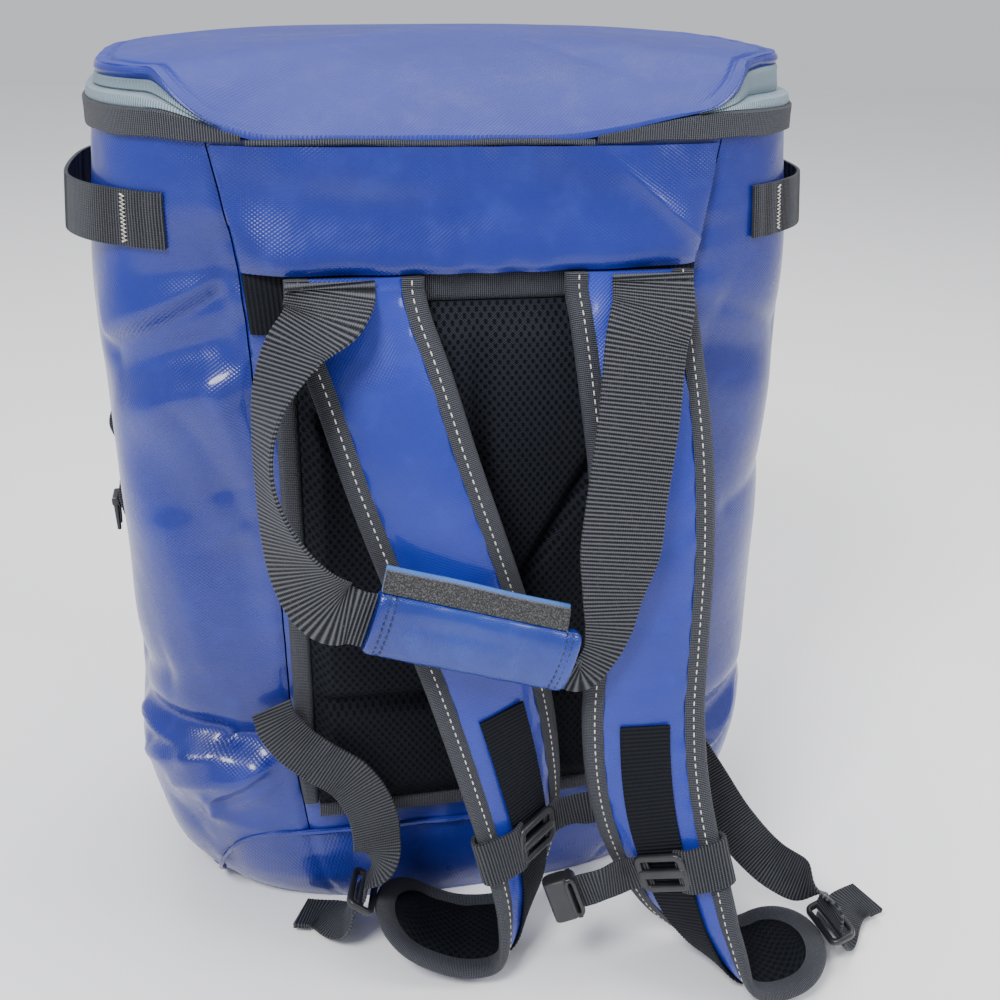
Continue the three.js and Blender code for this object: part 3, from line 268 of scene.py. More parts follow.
def seam_around(height):
    level = np.maximum(height, BASE_SEAM_RISE)
    return around_at(seam_x(level), level)


def base_seam(around):
    return lookup(BASE_SEAM_ROWS, "around", np.abs(signed(around)), "rise") * BASE_SEAM_RISE


def wing(around):
    turn = signed(around)
    left = smoothstep(0.155, 0.24, -turn)
    right = smoothstep(0.06, 0.21, turn)
    return np.where(turn < 0, left, right)


def wall_top(around):
    return BODY_HEIGHT + (RIM_HEIGHT - RIM_THICK - GAP) * wing(around)


# Mesh building


def put_mesh(name, points, faces, material, uv=None, sharp=42):
    """New object from points in millimetres and a list of faces, with optional
    places on the cloth, one for each corner of each face."""
    mesh = bpy.data.meshes.new(name)
    mesh.from_pydata((np.asarray(points) * MM).tolist(), [], [list(map(int, f)) for f in faces])
    if uv is not None:
        layer = mesh.uv_layers.new(name="cloth")
        layer.data.foreach_set("uv", np.asarray(uv, np.float32).ravel())
    mesh.materials.append(material)
    work = bmesh.new()
    work.from_mesh(mesh)
    bmesh.ops.recalc_face_normals(work, faces=work.faces)
    for face in work.faces:
        face.smooth = True
    work.to_mesh(mesh)
    work.free()
    mesh.set_sharp_from_angle(angle=math.radians(sharp))
    thing = bpy.data.objects.new(name, mesh)
    bpy.context.collection.objects.link(thing)
    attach(thing, "root")
    return thing


def run_length(points):
    """Distance along a row of points, starting at 0."""
    steps = np.linalg.norm(np.diff(points, axis=0), axis=1)
    return np.concatenate([[0], np.cumsum(steps)])


def loft(name, rings, material, closed=False, along=None, across=None, sharp=42, flat=False):
    """Closed tube through rings of points, each a closed loop, with capped ends
    or joined to itself. Along and across give the cloth's places in millimetres,
    or with flat the places are those of the plan."""
    rings = np.asarray(rings, float)
    count, loop = rings.shape[:2]
    if along is None:
        middle = rings.mean(1)
        along = run_length(np.vstack([middle, middle[:1]]) if closed else middle)
    if across is None:
        first = rings[count // 2]
        across = run_length(np.vstack([first, first[:1]]))
    spans = count if closed else count - 1
    i, j = np.meshgrid(np.arange(spans), np.arange(loop), indexing="ij")
    i2 = (i + 1) % count
    j2 = (j + 1) % loop
    faces = np.stack([i * loop + j, i2 * loop + j, i2 * loop + j2, i * loop + j2], -1).reshape(-1, 4)
    corner_u = np.stack([across[j], across[j], across[j + 1], across[j + 1]], -1)
    corner_v = np.stack([along[i], along[i + 1], along[i + 1], along[i]], -1)
    uv = np.stack([corner_u, corner_v], -1).reshape(-1, 2)
    faces = faces.tolist()
    if not closed:
        ends = [list(range(loop))[::-1], [(count - 1) * loop + k for k in range(loop)]]
        faces += ends
        start = np.stack([across[:-1][::-1], np.full(loop, along[0])], -1)
        end = np.stack([across[:-1], np.full(loop, along[-1])], -1)
        uv = np.vstack([uv, start, end])
    if flat:
        uv = rings.reshape(-1, 3)[np.concatenate([np.asarray(face) for face in faces]), :2]
    return put_mesh(name, rings.reshape(-1, 3), faces, material, uv, sharp)


def grid_faces(n, m):
    """Faces between n rows of m points."""
    i, j = np.meshgrid(np.arange(n - 1), np.arange(m - 1), indexing="ij")
    at = i * m + j
    return np.stack([at, at + m, at + m + 1, at + 1], -1).reshape(-1, 4)


# Steps of a padded panel's outer grid that make one step of its inner grid
COARSE = 4


def panel(name, outer, inner, material, u, v):
    """Closed padded panel: a fine outer grid and a coarse inner grid that share
    their border."""
    n, m = outer.shape[:2]
    p, q = inner.shape[:2]
    points = np.vstack([outer.reshape(-1, 3), inner.reshape(-1, 3)])
    shift = n * m
    fine = grid_faces(n, m)
    uv = np.stack([u.ravel()[fine], v.ravel()[fine]], -1).reshape(-1, 2)
    faces = fine.tolist() + (grid_faces(p, q)[:, [0, 3, 2, 1]] + shift).tolist()
    borders = [
        ([k * m for k in range(n)], [k * q for k in range(p)]),
        ([k * m + m - 1 for k in range(n)], [k * q + q - 1 for k in range(p)]),
        (list(range(m)), list(range(q))),
        ([(n - 1) * m + k for k in range(m)], [(p - 1) * q + k for k in range(q)]),
    ]
    for fine_row, rough_row in borders:
        for k in range(len(rough_row) - 1):
            a = rough_row[k] + shift
            b = rough_row[k + 1] + shift
            part = fine_row[k * COARSE : (k + 1) * COARSE + 1]
            half = COARSE // 2
            faces += [[part[h], part[h + 1], a] for h in range(half)]
            faces.append([part[half], b, a])
            faces += [[part[h], part[h + 1], b] for h in range(half, COARSE)]
    flat = np.zeros((sum(len(f) for f in faces) - len(uv), 2))
    return put_mesh(name, points, faces, material, np.vstack([uv, flat]), 60)


def padded_panel(name, node, grid, columns, rows, material):
    """Padded piece from a function that gives points and their places on the cloth."""
    outer, u, v = grid(columns, rows, True)
    inner, _, _ = grid((columns - 1) // COARSE + 1, (rows - 1) // COARSE + 1, False)
    dress(panel(name, outer, inner, material, u, v), node)


# Ribbons


def smooth_route(rows):
    """Curve through rows of x, y, z, yaw, tilt and share, as a function of its share."""
    points = np.array([row[:3] for row in rows], float)
    ends = np.vstack([2 * points[0] - points[1], points, 2 * points[-1] - points[-2]])
    keyed = {
        "key": np.linspace(0, 1, len(rows)),
        "yaw": [row[3] for row in rows],
        "tilt": [row[4] for row in rows],
        "share": [row[5] if len(row) > 5 else 1 for row in rows],
    }

    def place_at(t):
        spot = np.clip(t, 0, 1) * (len(rows) - 1)
        i = np.minimum(spot.astype(int), len(rows) - 2)
        w = (spot - i)[:, None]
        a, b, c, d = (ends[i + k] for k in range(4))
        s1, s2, s3 = (np.linalg.norm(k, axis=1)[:, None] ** 0.5 for k in (b - a, c - b, d - c))
        t1 = ((b - a) / s1 - (c - a) / (s1 + s2) + (c - b) / s2) * s2
        t2 = ((c - b) / s2 - (d - b) / (s2 + s3) + (d - c) / s3) * s2
        return cubic(w, b, t1, c, t2)

    def at(t):
        t = np.atleast_1d(np.asarray(t, float))
        step = 1e-4
        point = place_at(t)
        along = unit(place_at(np.minimum(t + step, 1)) - place_at(np.maximum(t - step, 0)))
        yaw = np.radians(lookup(keyed, "key", t, "yaw"))
        tilt = np.radians(lookup(keyed, "key", t, "tilt"))
        across = np.stack([np.cos(yaw) * np.cos(tilt), np.sin(yaw) * np.cos(tilt), np.sin(tilt)], 1)
        across = unit(across - along * (across * along).sum(1, keepdims=True))
        out = np.cross(along, across)
        share = lookup(keyed, "key", t, "share")
        return {"point": point, "along": along, "across": across, "out": out, "share": share}

    return at


def on_frames(frames, a, n, s=0.0):
    """Points at distances across, out of and along a row of frames."""
    a, n, s = (np.asarray(k, float) for k in (a, n, s))
    shape = np.broadcast_shapes(a.shape, n.shape, s.shape)
    a, n, s = (np.broadcast_to(k, shape)[..., None] for k in (a, n, s))
    spread = (slice(None),) + (None,) * (len(shape) - 1)
    return (
        frames["point"][spread]
        + frames["across"][spread] * a
        + frames["out"][spread] * n
        + frames["along"][spread] * s
    )


def even_shares(route, start, end, step):
    """Shares of a route between two shares, evenly spaced by length."""
    t = np.linspace(start, end, 400)
    length = run_length(route(t)["point"])
    count = max(int(length[-1] / step), 4)
    return np.interp(np.linspace(0, length[-1], count + 1), length, t)


def flat_loop(width, thick, columns=8):
    """Loop of a thin band: places across and out, with softly rounded edges."""
    x = np.linspace(-1, 1, columns)
    top = [(k * (width / 2 - 0.45), thick / 2) for k in x]
    bottom = [(-a, -n) for a, n in top]
    return np.array([(-width / 2, 0)] + top + [(width / 2, 0)] + bottom)


# Shares of a band's width at which its points stand
WEB_SHARES = np.linspace(0, 1, 9)[None, :]

# Distances between the ribs of a band, and their height
RIB = 1.55
HANDLE_RIB = 1.9
STRIP_RIB = 2.2
RIB_HEIGHT = 0.16


# Materials


class Shade:
    """Small helper that adds and links nodes of one material."""

    def __init__(self, name, colour, roughness, **sockets):
        self.material = bpy.data.materials.new(name)
        self.material.use_nodes = True
        self.tree = self.material.node_tree
        self.shader = self.tree.nodes["Principled BSDF"]
        self.shader.inputs["Base Color"].default_value = (*colour, 1)
        self.shader.inputs["Roughness"].default_value = roughness
        for socket, value in sockets.items():
            self.shader.inputs[socket.replace("_", " ")].default_value = value
        self.material.diffuse_color = (*colour, 1)

    def node(self, kind, **values):
        made = self.tree.nodes.new(kind)
        for key, value in values.items():
            setattr(made, key, value)
        return made

    def link(self, source, target):
        self.tree.links.new(source, target)

    def feed(self, target, value):
        if isinstance(value, (int, float)):
            target.default_value = value
        else:
            self.link(value, target)

    def math(self, kind, first, second=0.0):
        made = self.node("ShaderNodeMath", operation=kind)
        self.feed(made.inputs[0], first)
        self.feed(made.inputs[1], second)
        return made.outputs[0]

    def cloth(self):
        """Places on the cloth in millimetres, across and along."""
        uv = self.node("ShaderNodeUVMap", uv_map="cloth")
        split = self.node("ShaderNodeSeparateXYZ")
        self.link(uv.outputs[0], split.inputs[0])
        return split.outputs[0], split.outputs[1]

    def place(self):
        return self.node("ShaderNodeTexCoord").outputs["Object"]

    def noise(self, scale, detail=3.0):
        made = self.node("ShaderNodeTexNoise")
        for socket, value in (("Scale", scale), ("Detail", detail), ("Roughness", 0.55)):
            made.inputs[socket].default_value = value
        self.link(self.place(), made.inputs["Vector"])
        return made.outputs[0]

    def wave(self, at, pitch):
        """Sine of a place in millimetres, from -1 to 1."""
        return self.math("SINE", self.math("MULTIPLY", at, 2 * math.pi / pitch))

    def mix(self, share, first, second):
        made = self.node("ShaderNodeMix", data_type="RGBA")
        self.feed(made.inputs[0], share)
        for socket, value in ((made.inputs[6], first), (made.inputs[7], second)):
            if isinstance(value, tuple):
                socket.default_value = (*value, 1)
            else:
                self.link(value, socket)
        return made.outputs[2]

    def ramp(self, at, low, high, to_low=0.0, to_high=1.0):
        made = self.node("ShaderNodeMapRange")
        for socket, value in zip(made.inputs[1:5], (low, high, to_low, to_high)):
            socket.default_value = value
        self.link(at, made.inputs[0])
        return made.outputs[0]

    def colour(self, value):
        self.link(value, self.shader.inputs["Base Color"])

    def rough(self, value):
        self.link(value, self.shader.inputs["Roughness"])

    def bump(self, height, depth, before=None):
        made = self.node("ShaderNodeBump")
        made.inputs["Strength"].default_value = 1.0
        made.inputs["Distance"].default_value = depth * MM
        self.link(height, made.inputs["Height"])
        if before is not None:
            self.link(before, made.inputs["Normal"])
        self.link(made.outputs[0], self.shader.inputs["Normal"])
        return made.outputs[0]


def tarp_material(name, colour, deep, pale, gloss=0.3, crumple=0.5, coat=0.4, coat_rough=0.12):
    """Coated cloth: brick-like weave under a glossy skin, with soft unevenness."""
    sockets = {"Coat_Weight": coat, "Coat_Roughness": coat_rough, "Specular_IOR_Level": 0.35}
    made = Shade(name, colour, gloss, **sockets)
    u, v = made.cloth()
    threads = made.math("MULTIPLY", made.wave(u, 1.9), made.wave(v, 1.7))
    patches = made.noise(9, 4)
    mottle = made.noise(60, 3)
    shade = made.mix(made.ramp(patches, 0.35, 0.68), deep, colour)
    shade = made.mix(made.ramp(mottle, 0.52, 0.75, 0, 0.35), shade, pale)
    shade = made.mix(made.ramp(threads, -1, -0.2, 0.3, 0), shade, deep)
    made.colour(shade)
    made.rough(made.ramp(mottle, 0.3, 0.7, gloss - 0.05, gloss + 0.09))
    soft = made.bump(made.noise(70, 2), crumple)
    made.bump(threads, 0.07, before=soft)
    return made.material


def web_material(name, colour, light, pitch, depth=0.14, yarn=1.1, sheen=0.06, shine=0.3):
    """Woven band: ribs across it, yarns along it."""
    made = Shade(name, colour, 0.6, Sheen_Weight=sheen, Sheen_Roughness=0.4, Specular_IOR_Level=shine)
    u, v = made.cloth()
    ribs = made.wave(v, pitch)
    yarns = made.wave(u, yarn)
    height = made.math("MULTIPLY_ADD", yarns, 0.35)
    made.link(ribs, height.node.inputs[2])
    fuzz = made.noise(900, 2)
    tone = made.mix(made.ramp(height, -0.35, 1.15), colour, light)
    tone = made.mix(made.ramp(fuzz, 0.55, 0.8, 0, 0.4), tone, light)
    made.colour(tone)
    made.bump(height, depth)
    return made.material


def mesh_material():
    """Air mesh: columns of upright oval holes in a black knit, with painted shade that darkens the knit
    towards the bottom.
    """
    shaded_knit_low_tone = (0.006, 0.008, 0.013)
    made = Shade("air_mesh", shaded_knit_low_tone, 0.75, Specular_IOR_Level=0.12)
    u, v = made.cloth()
    holes = made.math("MULTIPLY", made.wave(u, 3.9), made.wave(v, 5.2))
    knit = made.math("MULTIPLY", made.wave(u, 1.3), made.wave(v, 1.1))
    open_share = made.ramp(holes, 0.05, 0.45)
    # Painted shade: by height, the knit runs from a shaded tone low down to a lit tone higher up
    height = made.node("ShaderNodeSeparateXYZ")
    made.link(made.place(), height.inputs[0])
    painted_shade_knit_tone = made.mix(made.ramp(height.outputs[2], 0.08, 0.34), shaded_knit_low_tone, (0.034, 0.039, 0.058))
    tone = made.mix(made.ramp(knit, -0.4, 0.9), (0.004, 0.005, 0.008), painted_shade_knit_tone)
    made.colour(made.mix(open_share, tone, (0.002, 0.002, 0.003)))
    deep = made.bump(made.math("MULTIPLY", open_share, -1.0), 0.9)
    made.bump(knit, 0.12, before=deep)
    return made.material


def zip_material():
    made = Shade("zip_tape", (0.16, 0.23, 0.28), 0.5)
    u, v = made.cloth()
    ribs = made.wave(v, 1.1)
    made.colour(made.mix(made.ramp(ribs, -0.8, 0.8), (0.1, 0.15, 0.19), (0.27, 0.35, 0.4)))
    made.bump(ribs, 0.12)
    return made.material


def plastic_material():
    made = Shade("moulded_plastic", (0.012, 0.013, 0.015), 0.34, Specular_IOR_Level=0.5)
    grain = made.noise(1400, 2)
    made.rough(made.ramp(grain, 0.3, 0.7, 0.28, 0.42))
    made.colour(made.mix(made.ramp(made.noise(40), 0.4, 0.7), (0.01, 0.011, 0.013), (0.02, 0.021, 0.024)))
    made.bump(grain, 0.02)
    return made.material


def fine_material(name, colour, rough, grain, span, dark, light, depth, **sockets):
    """Fuzz or twisted thread: one fine noise gives both tone and relief."""
    made = Shade(name, colour, rough, **sockets)
    fuzz = made.noise(grain, 2)
    made.colour(made.mix(made.ramp(fuzz, *span), dark, light))
    made.bump(fuzz, depth)
    return made.material


BLUE = (0.008, 0.022, 0.25)
BLUE_DEEP = (0.0045, 0.012, 0.16)
BLUE_PALE = (0.015, 0.036, 0.31)
TARP = tarp_material("coated_cloth", BLUE, BLUE_DEEP, BLUE_PALE)
TARP_LID = tarp_material(
    "lid_cloth", (0.01, 0.024, 0.25), (0.008, 0.019, 0.2), (0.018, 0.038, 0.3),
    gloss=0.5, coat=0.12, coat_rough=0.35,
)
STRAP_CLOTH = tarp_material(
    "strap_cloth", (0.01, 0.028, 0.34), BLUE, (0.018, 0.046, 0.42), gloss=0.42, crumple=0.3
)
BLACK = (0.003, 0.0035, 0.0055)
WEB = web_material("webbing", BLACK, (0.062, 0.067, 0.08), RIB)
HANDLE_WEB = web_material("handle_webbing", BLACK, (0.1, 0.105, 0.12), HANDLE_RIB, shine=0.2)
# Darker copy of the webbing, as painted shade for the strips low on the straps where the light falls off;
# the yoke tabs use it too
SHADED_STRIP_WEB = web_material(
    "shaded_strip_webbing", (0.003, 0.0035, 0.005), (0.009, 0.011, 0.017), STRIP_RIB,
    depth=0.1, sheen=0.0, shine=0.12,
)
BINDING = web_material(
    "binding_tape", (0.006, 0.007, 0.011), (0.09, 0.096, 0.115), 0.9, depth=0.15, yarn=0.9
)
GRIP_CLOTH = tarp_material("grip_cloth", (0.012, 0.045, 0.3), BLUE_DEEP, (0.03, 0.07, 0.36), gloss=0.2)
FLAP_CLOTH = tarp_material(
    "flap_cloth", (0.06, 0.16, 0.45), (0.05, 0.13, 0.4), (0.09, 0.22, 0.52), gloss=0.4
)
AIR_MESH = mesh_material()
ZIP = zip_material()
PLASTIC = plastic_material()
THREAD_SPAN = (0.35, 0.65)
PALE = (0.78, 0.76, 0.7)
DARK = (0.03, 0.035, 0.05)
THREAD = fine_material("thread", PALE, 0.6, 1600, THREAD_SPAN, (0.42, 0.4, 0.36), PALE, 0.06)
DARK_THREAD = fine_material("dark_thread", DARK, 0.6, 1600, THREAD_SPAN, (0.008, 0.01, 0.02), DARK, 0.06)
HOOK = fine_material(
    "hook_tape", (0.014, 0.014, 0.016), 0.9, 1500, (0.45, 0.7), (0.008, 0.008, 0.01), (0.09, 0.09, 0.095),
    0.5, Sheen_Weight=0.3,
)


def dress(thing, node=None):
    """Hides the solid that a piece stands for, and returns the piece."""
    if node:
        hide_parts(node)
    return thing


# Cloth of the box

CREASES = [
    # start, end, reach below, reach above, height (a valley is negative), crispness
    ((-104, -107, 372), (-150, -92, 364), 9, 9, -2.2, 2.5),
    ((-120, -103, 365), (-166, -73, 337), 5, 12, 3.2, 1.2),
    ((-118, -104, 356), (-168, -70, 326), 7, 5, -4.2, 1.5),
    ((-137, -98, 300), (-111, -105, 250), 9, 14, -3.4, 3),
    ((-122, -102, 318), (-108, -106, 272), 8, 8, 2.2, 1.5),
    ((-123, -102, 262), (-104, -106, 268), 6, 8, -2.4, 1.2),
    ((-112, -105, 232), (-102, -107, 176), 14, 14, -3.0, 4),
    ((-150, -92, 240), (-136, -98, 170), 12, 12, 2.0, 3),
    ((-176, -40, 146), (-158, -82, 156), 9, 12, -3.6, 3),
    ((-174, -56, 118), (-148, -91, 113), 4, 13, 4.6, 0.8),
    ((-148, -91, 113), (-119, -103, 127), 4, 12, 4.2, 0.8),
    ((-168, -66, 108), (-128, -100, 119), 4, 4, -4.2, 0.8),
    ((-168, -65, 99), (-137, -97, 114), 6, 4, 3.0, 0.8),
    ((-137, -97, 114), (-108, -105, 109), 6, 5, 3.0, 0.8),
    ((-155, -85, 90), (-113, -104, 107), 8, 5, 3.0, 0.9),
    ((-113, -104, 106), (-140, -94, 84), 5, 5, 2.6, 0.8),
    ((-140, -94, 84), (-139, -95, 73), 5, 5, 2.4, 0.8),
    ((-133, -98, 82), (-114, -104, 97), 6, 6, -3.6, 1.5),
    ((-138, -95, 73), (-100, -106, 101), 5, 4, 2.6, 0.7),
    ((-140, -94, 71), (-99, -106, 62), 9, 4, 2.6, 1.5),
    ((-160, -76, 70), (-148, -88, 46), 8, 8, -1.6, 2),
    ((168, -70, 328), (128, -102, 346), 9, 9, -2.4, 2),
    ((170, -60, 250), (140, -96, 236), 9, 9, -2.0, 2),
    ((168, -70, 112), (146, -93, 84), 5, 11, 4.0, 0.9),
    ((170, -66, 100), (150, -90, 72), 6, 6, -3.2, 1.2),
    ((60, 124, 120), (150, 92, 150), 9, 9, -2.4, 2),
    ((-140, 100, 330), (-60, 124, 345), 9, 12, 1.8, 2),
]


def cloth_rise(around, height):
    """How far the finer folds, puckers and seams lift the cloth off the skin."""
    point, normal = outline(around, height)
    turn = signed(around)
    girth = turn * HALF_GIRTH
    height = point[..., 2]
    rise = 0.55 * np.sin(girth / 19 + height / 31 + 1.3) * np.sin(height / 23 - girth / 47)
    rise += 0.4 * np.sin(girth / 11 - height / 17) * np.sin(height / 37 + 0.7)
    for start, end, below, above, peak, crisp in CREASES:
        start = np.array(start, float)
        run = np.array(end, float) - start
        length = np.linalg.norm(run)
        run /= length
        side = np.cross(normal, run)
        side *= np.sign(side[..., 2:3]) / np.linalg.norm(side, axis=-1, keepdims=True)
        away = point - start
        share = away @ run
        past = np.maximum(np.maximum(-share, share - length), 0)
        q = (away * side).sum(-1)
        off = away - np.clip(share, 0, length)[..., None] * run
        deep2 = np.maximum((off * off).sum(-1) - past**2 - q**2, 0)
        fade = np.exp(-((past / 7) ** 2) - deep2 / 900)
        reach = np.where(q < 0, below, above)
        rise += fade * peak * np.exp((crisp - np.sqrt(q * q + crisp * crisp)) / reach)
    seam = np.abs(np.abs(girth) - seam_around(height) * HALF_GIRTH)
    rise = rise * (0.15 + 0.85 * smoothstep(0.165, 0.2, np.abs(turn)))
    rise -= 1.4 * bell(seam, 2.0)
    rise += 0.6 * pucker(height, 3.7, 29, 2) * np.exp(-seam / 7)
    rim_near = np.exp(-np.abs(BODY_HEIGHT - 6 - height) / 8)
    rise += 0.4 * pucker(girth, 4.7, 31) * rim_near
    base_near = np.exp(-np.abs(height - base_seam(around)) / 9)
    rise += 0.8 * pucker(girth, 4.3, 23, 2) * base_near
    return rise * (1 - smoothstep(414, 424, height)) * smoothstep(0, 4, height)


def cloth(around, height, lift=0.0):
    point = skin(around, height)
    normal = outline(around, height)[1]
    return point + normal * (np.asarray(lift, float) + cloth_rise(around, height))[..., None]


def side_turn(share, height):
    start = seam_around(height) + GAP / HALF_GIRTH
    crowded = share - 0.07 * np.sin(2 * math.pi * share)
    return start + crowded * (2 - 2 * start)


def back_turn(share, height):
    edge = seam_around(height) - GAP / HALF_GIRTH
    return edge * (2 * share - 1)


def wall_panel(name, node, turn_at, columns, rows):
    """Padded wall between its two seams, from the base seam to the rim."""

    def grid(columns, rows, outside):
        share = np.linspace(0, 1, columns)[:, None]
        foot = base_seam(turn_at(share, BASE_SEAM_RISE)) + GAP
        if not outside:
            foot = np.maximum(foot, WALL + GAP)
        top = wall_top(turn_at(share, BODY_HEIGHT))
        height = foot + np.linspace(0, 1, rows)[None, :] * (top - foot)
        turn = turn_at(np.broadcast_to(share, height.shape), height)
        points = cloth(turn, height) if outside else skin(turn, height, -WALL)
        return points, turn * HALF_GIRTH, height

    padded_panel(name, node, grid, columns, rows, TARP)


def box_base():
    turns = np.linspace(0, 2, 481)[:-1]
    seam = base_seam(turns)
    inner_top = np.maximum(seam, WALL)
    rings = [skin(turns, np.full(turns.shape, float(WALL)), -WALL), skin(turns, inner_top, -WALL)]
    for share in np.linspace(1, 0, 19) ** 1.3:
        rings.append(cloth(turns, seam * share))
    for inset in (0.97, 0.8, 0.5, 0.2):
        floor = rings[20].copy()
        floor[:, :2] *= inset
        floor[:, 2] = 0
        rings.append(floor)
    base = loft("base_panel", rings, TARP, sharp=60)
    dress(base, "base_wall")
    steps = np.linspace(0, 2, 1201)[:-1]
    around = np.linspace(0, 2 * math.pi, 9)[:-1]
    swell = 1.7 + 0.3 * np.sin(steps * HALF_GIRTH / 3.1) + 0.15 * np.sin(steps * HALF_GIRTH / 7.7)
    lift = 1.2 + swell[:, None] * np.cos(around)
    height = base_seam(steps)[:, None] + swell[:, None] * np.sin(around)
    welt = loft("base_piping", skin(steps[:, None], height, lift), TARP, closed=True)
    dress(welt, "base_welt")


# Rim, zip and lid

BAND_END = {"left": 0.177, "right": 0.10}
ZIP_END = {"left": 0.19, "right": 0.18}
ZIP_STAND = 0.075
LID_PAD = 9


def stand(turn):
    """Share of its full height that the zip has: it runs down flat to its two ends."""
    turn = signed(turn)
    end = np.where(turn < 0, ZIP_END["left"], ZIP_END["right"])
    return smoothstep(0, ZIP_STAND, np.abs(turn) - end)


def lid_lift(turn):
    t = np.abs(signed(turn))
    corner = bell(t - 0.265, 0.065)
    return -LID_INSET * smoothstep(0.08, 0.24, t) - LID_CORNER_TUCK * corner


def edge_lift(turn):
    """Lift of the lid's edge: out over the hinge at the back, drawn in where the zip stands."""
    return lid_lift(turn) * stand(turn) + 1.9 * (1 - stand(turn))


def rim_top(turn):
    return wall_top(turn) + 2 * GAP + RIM_THICK


def zip_middle(turn):
    return rim_top(turn) + 0.4 + (TAPE_HEIGHT - 0.4) * stand(turn)


def zip_head(turn):
    x = outline(turn, np.full(np.shape(turn), float(BODY_HEIGHT)))[0][..., 0]
    raised = (0.5 + 0.5 * x / (BODY_WIDTH / 2)) * smoothstep(0.1, 0.3, np.abs(signed(turn)))
    return zip_middle(turn) + 0.5 + (TAPE_HEIGHT - 0.2 + LID_LEAN * raised) * stand(turn)


def gusset_head(turn):
    return zip_head(turn) + 0.5 + (GUSSET_HEIGHT - 0.2) * stand(turn)


def ring(name, turns, profile, material, closed=False):
    """Band that follows the rim. The profile gives a loop of lifts and heights for
    each turn."""
    loops = np.array([[column + 0 * turns for column in place] for place in profile(turns)])
    lifts, heights = loops[:, 0].T, loops[:, 1].T
    return loft(name, rim(turns[:, None], heights, lifts), material, closed, along=turns * HALF_GIRTH)


def rim_pieces():
    turns = np.linspace(BAND_END["right"], 2 - BAND_END["left"], 701)

    def band_profile(turn):
        top = wall_top(turn) + GAP + RIM_THICK
        foot = BODY_HEIGHT + 1.2 * wing(turn) + 0.3 * np.sin(turn * HALF_GIRTH / 5.3)
        middle = (top + foot) / 2
        return [
            (2.0, foot), (2.6, foot + 0.5), (2.5, middle), (2.6, top - 0.8), (2.0, top - 0.2), (1.0, top),
            (-3.4, top), (-3.4, top - RIM_THICK), (0.6, top - RIM_THICK), (0.6, foot),
        ]

    dress(ring("rim_webbing", turns, band_profile, BINDING), "rim_binding")
    ends = (-BAND_END["left"] + 1.2 / HALF_GIRTH, BAND_END["right"] - 1.2 / HALF_GIRTH)
    hinge = np.linspace(*ends, 201)

    def hinge_profile(turn):
        angles = np.radians(np.arange(0, 360, 36))
        swell = 1 + 0.1 * np.sin(turn * HALF_GIRTH / 3.3)
        wander = 0.35 * np.sin(turn * HALF_GIRTH / 11)
        return [
            (1.7 + 1.3 * math.cos(a) * swell, BODY_HEIGHT + 0.9 + wander + 1.4 * math.sin(a) * swell)
            for a in angles
        ]

    dress(ring("hinge_piping", hinge, hinge_profile, BINDING), "hinge_binding")
    zipped = np.linspace(ZIP_END["right"], 2 - ZIP_END["left"], 701)

    def lower_tape(turn):
        low, high = rim_top(turn) - GAP, zip_middle(turn)
        inside = lid_lift(turn) - 4
        return [
            (0.6, low), (1.1, low + 0.2 * (high - low)), (0.9, low + 0.5 * (high - low)), (0.2, high - 0.1),
            (-0.6, high), (inside, high), (inside, low),
        ]

    def upper_tape(turn):
        lift, low, high = edge_lift(turn) + 1.4 * stand(turn), zip_middle(turn) + 0.2, zip_head(turn)
        step = high - low
        return [
            (lift + 0.7, low), (lift + 1.2, low + 0.15 * step), (lift + 0.9, low + 0.35 * step),
            (lift + 0.3, high - 0.25 * step), (lift + 0.4, high - 0.1 * step), (lift - 0.4, high),
            (lift - 4, high), (lift - 4, low),
        ]

    def gusset(turn):
        lift = edge_lift(turn) + 0.25 * np.sin(turn * HALF_GIRTH / 6.1) * stand(turn)
        low, high = zip_head(turn) + 0.2, gusset_head(turn)
        step = high - low
        return [
            (lift - 0.2, low), (lift + 1.1, low + 0.25 * step), (lift + 1.6, low + 0.5 * step),
            (lift + 1, high - 0.2 * step), (lift - 0.2, high), (lift - 3, high), (lift - 3, low),
        ]

    dress(ring("zip_tape_low", zipped, lower_tape, ZIP), "zip_tape_lower")
    dress(ring("zip_tape_high", zipped, upper_tape, ZIP), "zip_tape_upper")
    dress(ring("gusset_strip", zipped, gusset, TARP), "lid_gusset")


def lid():
    turns = np.linspace(0, 2, 481)[:-1]
    back = 1 - stand(turns)
    foot = rim_top(turns) + GAP - 2.2 * back * (1 - wing(turns))
    crown = BODY_HEIGHT + RIM_HEIGHT + LID_RISE
    head = gusset_head(turns) + 0.2
    edge = rim(turns, np.zeros(turns.shape), edge_lift(turns))

    def surface(share, lower):
        lean = LID_LEAN * 0.5 * (edge[:, 0] / (BODY_WIDTH / 2)) * share * (1 - share)
        height = head + (crown - head) * (1 - share ** (3 - 0.9 * back)) + lean
        place = edge * share
        x, y = place[:, 0], place[:, 1]
        if lower:
            height = height - np.minimum(LID_PAD, np.maximum(height - foot - 0.5, 0.3))
        else:
            rise = 0.9 * np.sin(x / 37 + y / 61) * np.sin(y / 29 + 1) - 0.9
            groove = 1.5 * bell(share - 0.965, 0.008) * (1 - back)
            tuck = 0.35 * np.sin(turns * HALF_GIRTH / 5.7) * math.exp(-abs(share - 0.97) / 0.03)
            height = height + rise * math.sin(math.pi * share) + tuck * (1 - 0.5 * back) - groove
        place[:, 2] = height
        return place

    upper = np.concatenate([np.linspace(0.02, 0.9, 30), np.linspace(0.91, 1, 26)])
    rings = [surface(share, False) for share in upper]
    rings += [surface(share, True) for share in np.linspace(1, 0.02, 14)]
    top = loft("lid_cover", rings, TARP_LID, flat=True, sharp=60)
    dress(top, "lid_top")


# Back panel

